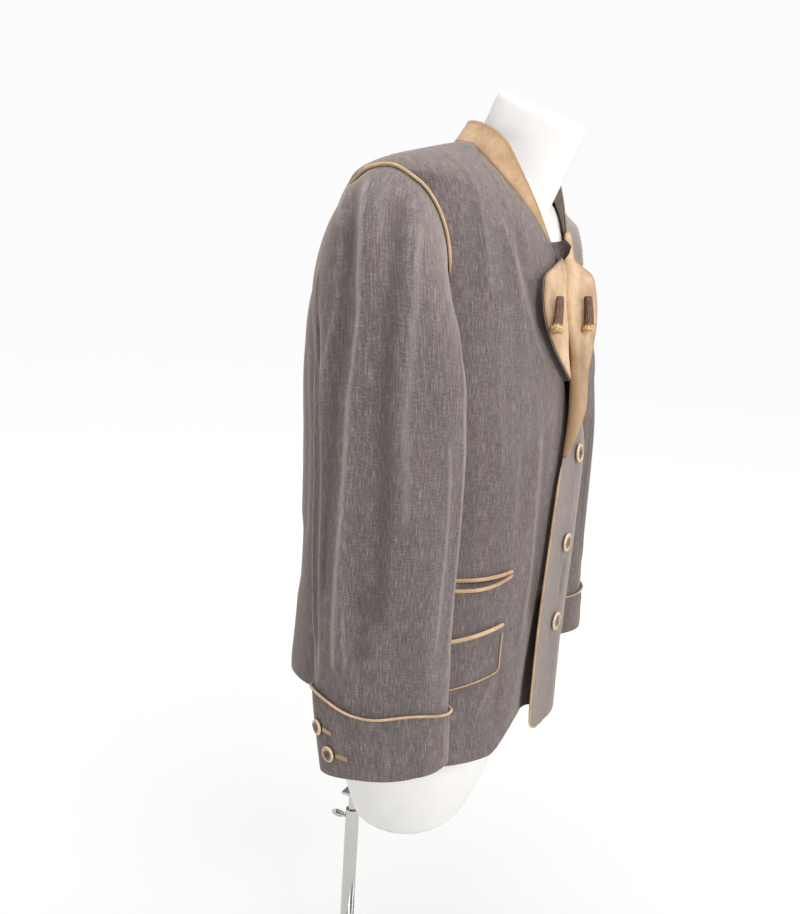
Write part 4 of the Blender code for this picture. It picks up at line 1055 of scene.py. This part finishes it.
right_neck, left_neck = (FRONTS[side][panel_rows > COLLAR_STARTS[side], 0] for side in (RIGHT, LEFT))
neckline = np.concatenate([right_neck, BACK[-1][-9:8:-1], left_neck[::-1]])
for _ in range(40):
    neckline[1:-1] = neckline[1:-1] * 0.5 + (neckline[:-2] + neckline[2:]) * 0.25
run = run_of(neckline)
marks = np.linspace(0, run[-1], COLLAR_STATIONS)
neckline = np.stack([np.interp(marks, run, neckline[:, k]) for k in range(3)], axis=1)
along = unit(np.gradient(neckline, axis=0))
axis_y = NECK_TOP_Y + math.tan(math.radians(NECK_TILT)) * (NECK_TOP_Z - neckline[:, 2])
inward = unit(np.stack([-neckline[:, 0], axis_y - neckline[:, 1], np.zeros(len(neckline))], axis=1))
lean = COLLAR_LEAN * smooth_step((neckline[:, 1] + 90) / 110)
rise = unit(inward * lean[:, None] + (0, 0, 1))
rise = unit(rise - along * np.sum(rise * along, axis=1, keepdims=True))
inside = unit(np.cross(along, rise))
tall = np.clip((neckline[:, 2] - COLLAR_GROWS_FROM) / COLLAR_GROWS_OVER, 0, 1) ** COLLAR_GROWTH
band = COLLAR_FRONT_HEIGHT + (COLLAR_BACK_HEIGHT - COLLAR_FRONT_HEIGHT) * tall
up = np.linspace(0, 1, 14)
collar = neckline[None] + rise[None] * (SEAM + band[None] * up[:, None])[..., None]
collar_face = collar[:, ::-1]
piece = wall("collar_nubuck", collar_face, LEATHER, tan_leather, ["collar_leather"])
declare(collar_face)
lining = (collar + inside[None] * (1.5 + 3 * GAP))[:, ::-1]
flat = np.stack(np.broadcast_arrays(marks[None, ::-1], (up * COLLAR_BACK_HEIGHT)[:, None]), axis=-1) * MM
piece = wall("collar_lining_cloth", lining, 1.2, taupe_cloth, ["collar_lining"], flat)
declare(lining)

# Piping: narrow strips of the same nubuck folded round a cord and sewn into the seams, over the top of each
# armhole, round each cuff and down the left front's edge.
ARMHOLE_PIPING, CUFF_PIPING, EDGE_PIPING = 2.0, 1.4, 1.4


def strip(name, path, radius, node_name, closed=False, sides=14, flatten=1.0, out=None, taper=0.0):
    """A round or flattened strip of nubuck along a path; out is the way its flat side faces, taper thins its ends."""
    path = np.asarray(path, float)
    ahead = unit(np.roll(path, -1, 0) - np.roll(path, 1, 0)) if closed else unit(np.gradient(path, axis=0))
    if out is None:
        out = np.zeros_like(path)
        out[:] = (0.13, 0.35, 0.93)
        for i in range(1, len(path)):
            out[i] = unit(out[i - 1] - ahead[i] * (out[i - 1] @ ahead[i]))
    out = unit(out - ahead * np.sum(out * ahead, axis=1, keepdims=True))
    beside = np.cross(ahead, out)
    thick = np.full(len(path), float(radius))
    if taper:
        run = run_of(path)
        thick *= 0.25 + 0.75 * smooth_step(np.minimum(run, run[-1] - run) / taper) ** 0.5
    angles = 2 * np.pi * np.arange(sides) / sides
    points = (path[:, None] + beside[:, None] * (thick[:, None] * np.cos(angles))[..., None]
              + out[:, None] * (thick[:, None] * flatten * np.sin(angles))[..., None])
    faces = []
    for i in range(len(path) if closed else len(path) - 1):
        low, high = i * sides, (i + 1) % len(path) * sides
        faces += [[low + j, low + (j + 1) % sides, high + (j + 1) % sides, high + j] for j in range(sides)]
    if not closed:
        faces += [list(range(sides - 1, -1, -1)), [(len(path) - 1) * sides + j for j in range(sides)]]
    return add_piece(name, points.reshape(-1, 3), faces, tan_leather, "form_and_jacket", [node_name])


for side, name in ((RIGHT, "right"), (LEFT, "left")):
    turns = np.arange(-110, 92, 2.0)
    seam, seam_turns = armhole_point(side, turns)
    along = armhole_point(side, turns + 3)[0] - armhole_point(side, turns - 3)[0]
    on_cap = unit(np.cross(along, cap_point(side, turns, 0.04) - cap_point(side, turns, 0.0)) * side)
    out = unit(on_cap + way_out(body_point, side, seam_turns, seam[:, 2], 3))
    strip(name + "_armhole_strip", seam + out * 3.4, ARMHOLE_PIPING, name + "_armhole_piping", out=out, taper=22)
    rim = cuff_point(side, sleeve_turns, 0.0)
    out = unit((rim - rim.mean(axis=0)) * (1, 1, 0))
    strip(name + "_cuff_strip", rim + out * 1.4, CUFF_PIPING, name + "_cuff_piping", closed=True, out=out)

hem_reach = 16
left = FRONTS[LEFT]
edge_rows = int(np.searchsorted(panel_rows, 356))
corner = [left[0, j] for j in range(hem_reach, 0, -1)] + [left[i, 0] for i in range(0, edge_rows)]
inner = [left[2, j] for j in range(hem_reach, 0, -1)] + [left[i, 2] for i in range(0, edge_rows)]
away = unit(np.array(corner) - np.array(inner))
faces_out = np.concatenate([grid_normals(left)[0, hem_reach:0:-1], grid_normals(left)[:edge_rows, 0]])
strip("front_edge_strip", np.array(corner) + away * 1.2 - faces_out * 0.8, EDGE_PIPING, "front_edge_piping",
      out=faces_out, taper=30)

# Pockets: on each front a slit between two nubuck lips, its lower lip sagging open, and below it a patch of the
# jacket's cloth with a thick piped top and a thin piped edge. All are sewn on.
Line = namedtuple("Line", "front_x front_height back_x back_height sag radius")
POCKET_LINES = {
    "pocket_lip_upper": Line(112, 231, 180, 226, 2, 2.4),
    "pocket_lip_lower": Line(112, 226, 180, 213, 5, 2.4),
    "patch_band": Line(119, 165, 186, 148, 0, 2.6),
}
PATCH_DEPTH, PATCH_EDGE = 61, 1.0


def on_front(side, x, height, out):
    """Points on a front this far from the centre line and this high, moved out; and the way out there."""
    turn = turn_at_x(height, x)
    normal = front_normal(side, turn, height)
    return front_point(side, turn, height) + normal * out, normal


def pocket_line(line, t):
    height = line.front_height + (line.back_height - line.front_height) * t - line.sag * np.sin(np.pi * t)
    return line.front_x + (line.back_x - line.front_x) * t, height


LIPS = {}
for side, name in ((RIGHT, "right_"), (LEFT, "left_")):
    for key, line in POCKET_LINES.items():
        x, height = pocket_line(line, np.linspace(0, 1, 40))
        path, out = on_front(side, x, height, line.radius * 0.75 + (2.4 if key == "patch_band" else 0.4))
        strip(name + key + "_strip", path, line.radius, name + key, flatten=0.75, out=out, taper=5)
        LIPS[side, key] = (path, out)
    band_line = POCKET_LINES["patch_band"]
    x, height = pocket_line(band_line, np.linspace(0, 1, 44))
    drop = np.linspace(1, 0, 32)[:, None]
    patch, out = on_front(side, np.broadcast_to(x, (32, 44)), height[None] - PATCH_DEPTH * drop, 1.9)
    flat = np.stack(np.broadcast_arrays(x[None], height[None] - PATCH_DEPTH * drop), axis=-1) * MM + side * 5
    order = slice(None, None, side)
    piece = wall(name + "patch_cloth", patch[:, order], 1.2, taupe_cloth, [name + "patch"],
                 flat[:, order])
    declare(patch)
    t = np.concatenate([np.zeros(12), np.linspace(0, 1, 40)[1:]])
    depth = np.concatenate([np.linspace(0.2, 1, 12), np.ones(39)])
    x, height = pocket_line(band_line, t)
    rim, out = on_front(side, x, height - PATCH_DEPTH * depth, 2.1 + PATCH_EDGE)
    for _ in range(6):
        rim[1:-1] = rim[1:-1] * 0.5 + (rim[:-2] + rim[2:]) * 0.25
    strip(name + "patch_edge_strip", rim, PATCH_EDGE, name + "patch_edge", out=out, sides=10)

# Buttons: slices of antler, turned to a shallow dish with a rim, polished, and sewn through four holes. Three close
# the front and two close each cuff, where a nubuck bar edges each buttonhole.
BUTTON_HEIGHTS = (140, 248, 365)
BUTTON_INSET = 0.14
FRONT_BUTTON = ((0, 0), (4, 0), (4, 1.2), (10.8, 1.7), (12.5, 3.2), (11.7, 4.9), (9.8, 5.4), (7.8, 4.5), (0, 4.1))
CUFF_BUTTON = ((0, 0), (3.2, 0), (3.2, 1.0), (8.2, 1.5), (9.4, 2.8), (8.6, 4.2), (7.1, 4.6), (5.7, 3.9), (0, 3.6))
CUFF_BUTTON_PLACES = ((315, 0.42), (330, 0.7))
BUTTONHOLE_HEIGHT, BUTTONHOLE_REACH = 5, (8, 20)
BUTTON_STEPS = 48

# Antler slice: a mottled brown core inside a pale bony ring, polished to a soft gloss.
antler_slice, tree, shader = new_material("polished_antler_slice")
spot = node(tree, "ShaderNodeTexCoord").outputs["Object"]
mottle = node(tree, "ShaderNodeTexNoise", {"Vector": spot, "Scale": 240.0, "Detail": 4.0, "Roughness": 0.65})
from_middle = node(tree, "ShaderNodeAttribute", attribute_name="from_middle").outputs["Fac"]
blend_at = node(tree, "ShaderNodeMath", {0: from_middle, 1: mottle.outputs[0]}, operation="ADD")
rimmed = node(tree, "ShaderNodeMapRange", {0: blend_at.outputs[0], 1: 1.0, 2: 1.4})
slice_tone = node(tree, "ShaderNodeMix", {
    0: rimmed.outputs[0], 6: linear("#5f3c2b"), 7: linear("#d2bb9a")}, data_type="RGBA")
relief = node(tree, "ShaderNodeBump", {"Height": mottle.outputs[0], "Strength": 0.15, "Distance": 0.0004})
give(tree, shader, {"Base Color": slice_tone.outputs[2], "Normal": relief.outputs[0], "Roughness": 0.28})

# Waxed linen thread for the seams: twisted, so it shows fine slanting strands.
thread_materials = {}
for name, colour, strand in (
    ("tan_linen_thread", "#b98f5f", "#8c6a41"),
    ("taupe_linen_thread", "#85796f", "#5c5450"),
):
    thread, tree, shader = new_material(name)
    strands = node(tree, "ShaderNodeTexWave", {
        "Vector": node(tree, "ShaderNodeTexCoord").outputs["Object"], "Scale": 900.0, "Distortion": 1.5},
        bands_direction="DIAGONAL")
    tone = node(tree, "ShaderNodeMix", {
        0: strands.outputs["Fac"], 6: linear(colour), 7: linear(strand)}, data_type="RGBA")
    give(tree, shader, {"Base Color": tone.outputs[2], "Roughness": 0.7})
    thread_materials[name] = thread


def set_up(points, place, out, up=(0, 0, 1)):
    """Turned points moved so that their axis points out from a place, with their y side up."""
    out = unit(np.asarray(out))
    beside = unit(np.cross(up, out))
    return np.asarray(points) @ np.array([beside, np.cross(out, beside), out]) + place


button_sites = []
for count, height in enumerate(BUTTON_HEIGHTS, 1):
    turns, levels, marks = panel_row(LEFT, height, "front")
    turn, level = (float(np.interp(BUTTON_INSET * marks[-1], marks, part)) for part in (turns, levels))
    out = front_normal(LEFT, turn, level)
    button_sites.append((f"front_button_{count}", FRONT_BUTTON, front_point(LEFT, turn, level) + out * 0.35, out))
for side, name in ((RIGHT, "right"), (LEFT, "left")):
    for count, (turn, t) in enumerate(CUFF_BUTTON_PLACES, 1):
        across = cuff_point(side, turn + 15, t) - cuff_point(side, turn - 15, t)
        down = cuff_point(side, turn, min(t + 0.2, 1)) - cuff_point(side, turn, t - 0.2)
        out = unit(np.cross(across, down) * side)
        button_sites.append((f"{name}_cuff_button_{count}", CUFF_BUTTON, cuff_point(side, turn, t) + out * 0.5, out))
        step = BUTTONHOLE_HEIGHT / 2 / float(cuff_top(turn) - cuff_bottom(turn))
        reach = np.linspace(*BUTTONHOLE_REACH, 16)
        rows = np.array([t + step, t + step / 3, t - step / 3, t - step])
        bar = cuff_point(side, turn + reach[None, :], rows[:, None]) + out * 1.6
        wall(f"{name}_buttonhole_{count}_bar", bar[:, ::-side], 1.0, tan_leather,
             [f"{name}_buttonhole_{count}"])

for name, profile, place, out in button_sites:
    points, faces = turned(rounded(profile, 0.7, 3), BUTTON_STEPS)
    radius = max(part[0] for part in profile)
    across = np.hypot(points[:, 0], points[:, 1]) / radius
    button = add_piece(name + "_slice", set_up(points, place, out), faces, antler_slice,
                       "form_and_jacket", [name])
    button.data.attributes.new("from_middle", "FLOAT", "POINT").data.foreach_set("value", across)
    hole_points, hole_faces = [], []
    for x, y in ((1.5, 1.5), (-1.5, 1.5), (-1.5, -1.5), (1.5, -1.5)):
        points, faces = turned([(0, 1.6), (0.75, 1.6), (0.75, 7), (0, 7)], 12)
        hole_faces += [[v + len(hole_points) for v in face] for face in faces]
        hole_points += (points + (x, y, 0)).tolist()
    drill_mesh = bpy.data.meshes.new("drill")
    drill_mesh.from_pydata(placed(set_up(hole_points, place, out)).tolist(), [], hole_faces)
    drill = bpy.data.objects.new("drill", drill_mesh)
    studio.collection.objects.link(drill)
    holes = button.modifiers.new("holes", "BOOLEAN")
    holes.operation = "DIFFERENCE"
    holes.solver = "EXACT"
    holes.object = drill
    settle(button)
    bpy.data.objects.remove(drill, do_unlink=True)

# Toggles: tips of antler worn as ornaments, one sewn to each lapel. The stick keeps its ridged brown bark and ends
# below in a pale, rough burr where it was cut.
TOGGLE_LENGTH, TOGGLE_ROWS, TOGGLE_STEPS = 44.5, 64, 48
TOGGLE = ((0, 7.6), (3, 8.6), (6, 7.2), (10, 6.0), (24, 5.6), (38, 5.1), (42.5, 4.6), (44.5, 3.9))
TOGGLE_HEIGHTS, TOGGLE_PARTS = (525.75, 552.6), {RIGHT: (0.94, 0.75), LEFT: (0.36, 0.4)}
TOGGLE_SEED = 5

# Antler: bark in deep brown lengthwise ridges, and a pale golden burr.
antler_bark, tree, shader = new_material("raw_antler")
spot = node(tree, "ShaderNodeTexCoord").outputs["Object"]
streaks = node(tree, "ShaderNodeTexNoise", {
    "Vector": node(tree, "ShaderNodeMapping", {"Vector": spot, "Scale": (900, 900, 120)}).outputs[0],
    "Scale": 1.0, "Detail": 4.0, "Roughness": 0.6})
ridged = node(tree, "ShaderNodeMapRange", {0: streaks.outputs[0], 1: 0.35, 2: 0.68})
bark = node(tree, "ShaderNodeMix", {
    0: ridged.outputs[0], 6: linear("#3b2418"), 7: linear("#7d5b42")}, data_type="RGBA")
burr_spots = node(tree, "ShaderNodeTexNoise", {"Vector": spot, "Scale": 420.0, "Detail": 3.0, "Roughness": 0.7})
burr_tone = node(tree, "ShaderNodeMix", {
    0: node(tree, "ShaderNodeMapRange", {0: burr_spots.outputs[0], 1: 0.42, 2: 0.62}).outputs[0],
    6: linear("#a8732f"), 7: linear("#e0c79a")}, data_type="RGBA")
burr_part = node(tree, "ShaderNodeAttribute", attribute_name="burr").outputs["Fac"]
skin = node(tree, "ShaderNodeMix", {0: burr_part, 6: bark.outputs[2], 7: burr_tone.outputs[2]}, data_type="RGBA")
relief = node(tree, "ShaderNodeBump", {"Height": streaks.outputs[0], "Strength": 0.5, "Distance": 0.0008})
give(tree, shader, {"Base Color": skin.outputs[2], "Normal": relief.outputs[0], "Roughness": 0.55})

for side, name in ((RIGHT, "right"), (LEFT, "left")):
    lapel_ends = [lapel_row(side, height)[len(ROLL_ANGLES):] for height in TOGGLE_HEIGHTS]
    low, high = (np.array([np.interp(part, FLAT_PARTS, flat_part[:, k]) for k in range(3)])
                 for part, flat_part in zip(TOGGLE_PARTS[side], lapel_ends))
    run_up = unit(high - low)
    out = unit(np.cross(lapel_ends[1][14] - lapel_ends[1][6], run_up))
    out = out * np.sign(-out[1])
    place = (low + high) / 2 - run_up * 22 + out * (8.8 + 1.5)
    draw = np.random.default_rng(TOGGLE_SEED + side)
    levels = np.linspace(0, TOGGLE_LENGTH, TOGGLE_ROWS)
    angles = 2 * np.pi * np.arange(TOGGLE_STEPS) / TOGGLE_STEPS
    radius = np.interp(levels, *zip(*TOGGLE))[:, None] * np.ones(TOGGLE_STEPS)
    burr = smooth_step((9.5 - levels) / 4)[:, None]
    for waves in (7, 11, 16, 23):
        sway = draw.uniform(0.2, 0.6) * np.sin(levels / draw.uniform(9, 16) + draw.uniform(0, 6))
        deep = (1 - burr) * draw.uniform(0.14, 0.3)
        radius += deep * np.sin(waves * angles[None] + sway[:, None] + draw.uniform(0, 6))
    radius += burr * draw.normal(0, 0.55, radius.shape)
    points = np.stack([radius * np.cos(angles), radius * np.sin(angles),
                       np.broadcast_to(levels[:, None], radius.shape)], axis=-1)
    points[..., 0] += 1.2 * np.sin(levels / TOGGLE_LENGTH * np.pi)[:, None]
    beside = unit(np.cross(run_up, out))
    body = points.reshape(-1, 3) @ np.array([beside, out, run_up]) + place
    ends = np.array([(0, 0, -0.6), (0, 0, TOGGLE_LENGTH + 0.8)]) @ np.array([beside, out, run_up]) + place
    first, last = len(body), (TOGGLE_ROWS - 1) * TOGGLE_STEPS
    faces = []
    for j in range(TOGGLE_STEPS):
        k = (j + 1) % TOGGLE_STEPS
        faces += [[row + j, row + k, row + TOGGLE_STEPS + k, row + TOGGLE_STEPS + j]
                  for row in range(0, last, TOGGLE_STEPS)]
        faces += [[first, k, j], [first + 1, last + j, last + k]]
    toggle = add_piece(name + "_toggle_antler", np.concatenate([body, ends]), faces, antler_bark,
                       "form_and_jacket", [name + "_toggle"])
    toggle.data.attributes.new("burr", "FLOAT", "POINT").data.foreach_set(
        "value", np.concatenate([np.broadcast_to(burr, radius.shape).ravel(), [1, 0]]))

# Stitching: rows of lockstitch in thread that matches what it holds, 2.5 mm long, along the collar's and the lapels'
# edges, beside the pocket lips and down the left front.
STITCH_PITCH, STITCH_LENGTH, THREAD, STITCH_PROUD = 3.4, 2.5, 0.5, 0.1

stitch_tree = bpy.data.node_groups.new("lockstitch", "GeometryNodeTree")
ports = stitch_tree.interface
ports.new_socket(name="Lines", in_out="INPUT", socket_type="NodeSocketGeometry")
stitch_inputs = {
    name: ports.new_socket(name=name, in_out="INPUT", socket_type=kind).identifier
    for name, kind in (("Pitch", "NodeSocketFloat"), ("Stitch length", "NodeSocketFloat"),
                       ("Thread", "NodeSocketFloat"), ("Thread material", "NodeSocketMaterial"))}
ports.new_socket(name="Stitches", in_out="OUTPUT", socket_type="NodeSocketGeometry")
given = node(stitch_tree, "NodeGroupInput").outputs
lines = node(stitch_tree, "GeometryNodeMeshToCurve", {"Mesh": given["Lines"]})
spaced_out = node(stitch_tree, "GeometryNodeResampleCurve", {
    "Curve": lines.outputs[0], "Length": given["Pitch"]}, mode="LENGTH")
bead = node(stitch_tree, "GeometryNodeMeshUVSphere", {"Segments": 6, "Rings": 4, "Radius": 0.5})
thin = node(stitch_tree, "ShaderNodeCombineXYZ", {
    "X": given["Thread"], "Y": given["Thread"], "Z": given["Stitch length"]})
facing = node(stitch_tree, "FunctionNodeAlignRotationToVector", {
    "Vector": node(stitch_tree, "GeometryNodeInputTangent").outputs[0]}, axis="Z")
sewn = node(stitch_tree, "GeometryNodeInstanceOnPoints", {
    "Points": spaced_out.outputs[0], "Instance": bead.outputs["Mesh"],
    "Rotation": facing.outputs[0], "Scale": thin.outputs[0]})
real = node(stitch_tree, "GeometryNodeRealizeInstances", {"Geometry": sewn.outputs[0]})
dyed = node(stitch_tree, "GeometryNodeSetMaterial", {
    "Geometry": real.outputs[0], "Material": given["Thread material"]})
node(stitch_tree, "NodeGroupOutput", {"Stitches": dyed.outputs[0]})

tan_lines = [
    collar[-2, 4:-4] - inside[4:-4] * STITCH_PROUD,
    collar[1, 4:-4] - inside[4:-4] * STITCH_PROUD,
]
for side in (RIGHT, LEFT):
    heights, face = LAPEL_FACES[side]
    normals = grid_normals(face[:, ::side])[:, ::side]
    wide = run_of(face)
    keep = wide[:, -1] - wide[:, len(ROLL_ANGLES)] > 9
    inset = [np.interp(wide[i, -1] - 3.5, wide[i], np.arange(face.shape[1])) for i in range(len(face))]
    line = []
    for i, place in enumerate(inset):
        if keep[i]:
            low, part = int(place), place % 1
            high = min(low + 1, face.shape[1] - 1)
            line.append(face[i, low] * (1 - part) + face[i, high] * part + normals[i, low] * STITCH_PROUD)
    tan_lines.append(np.array(line))
    for key, shift in (("pocket_lip_upper", 3.4), ("pocket_lip_lower", -3.4)):
        path, out = LIPS[side, key]
        tan_lines.append(path[2:-2] + np.array((0, 0, shift)) - out[2:-2] * 1.9)
left_out = grid_normals(left)
taupe_lines = [np.array([left[i, 2] + left_out[i, 2] * STITCH_PROUD for i in range(4, edge_rows)])]
for name, lines_of, material in (
    ("tan_stitching", tan_lines, thread_materials["tan_linen_thread"]),
    ("taupe_stitching", taupe_lines, thread_materials["taupe_linen_thread"]),
):
    points = np.concatenate(lines_of)
    starts = np.concatenate([[0], np.cumsum([len(line) for line in lines_of])])
    edges = [(i, i + 1) for a, b in zip(starts, starts[1:]) for i in range(a, b - 1)]
    seam_mesh = bpy.data.meshes.new(name)
    seam_mesh.from_pydata(placed(points).tolist(), edges, [])
    seam_piece = bpy.data.objects.new(name, seam_mesh)
    studio.collection.objects.link(seam_piece)
    sewing = seam_piece.modifiers.new("lockstitch", "NODES")
    sewing.node_group = stitch_tree
    for port, value in (("Pitch", STITCH_PITCH * MM), ("Stitch length", STITCH_LENGTH * MM),
                        ("Thread", THREAD * MM), ("Thread material", material)):
        sewing[stitch_inputs[port]] = value
    settle(seam_piece)
    seam_piece.data.polygons.foreach_set("use_smooth", [True] * len(seam_piece.data.polygons))
    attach(seam_piece, "form_and_jacket")

size = {"cad": cad_box, "visual": [[float(value) for value in corner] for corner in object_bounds()]}
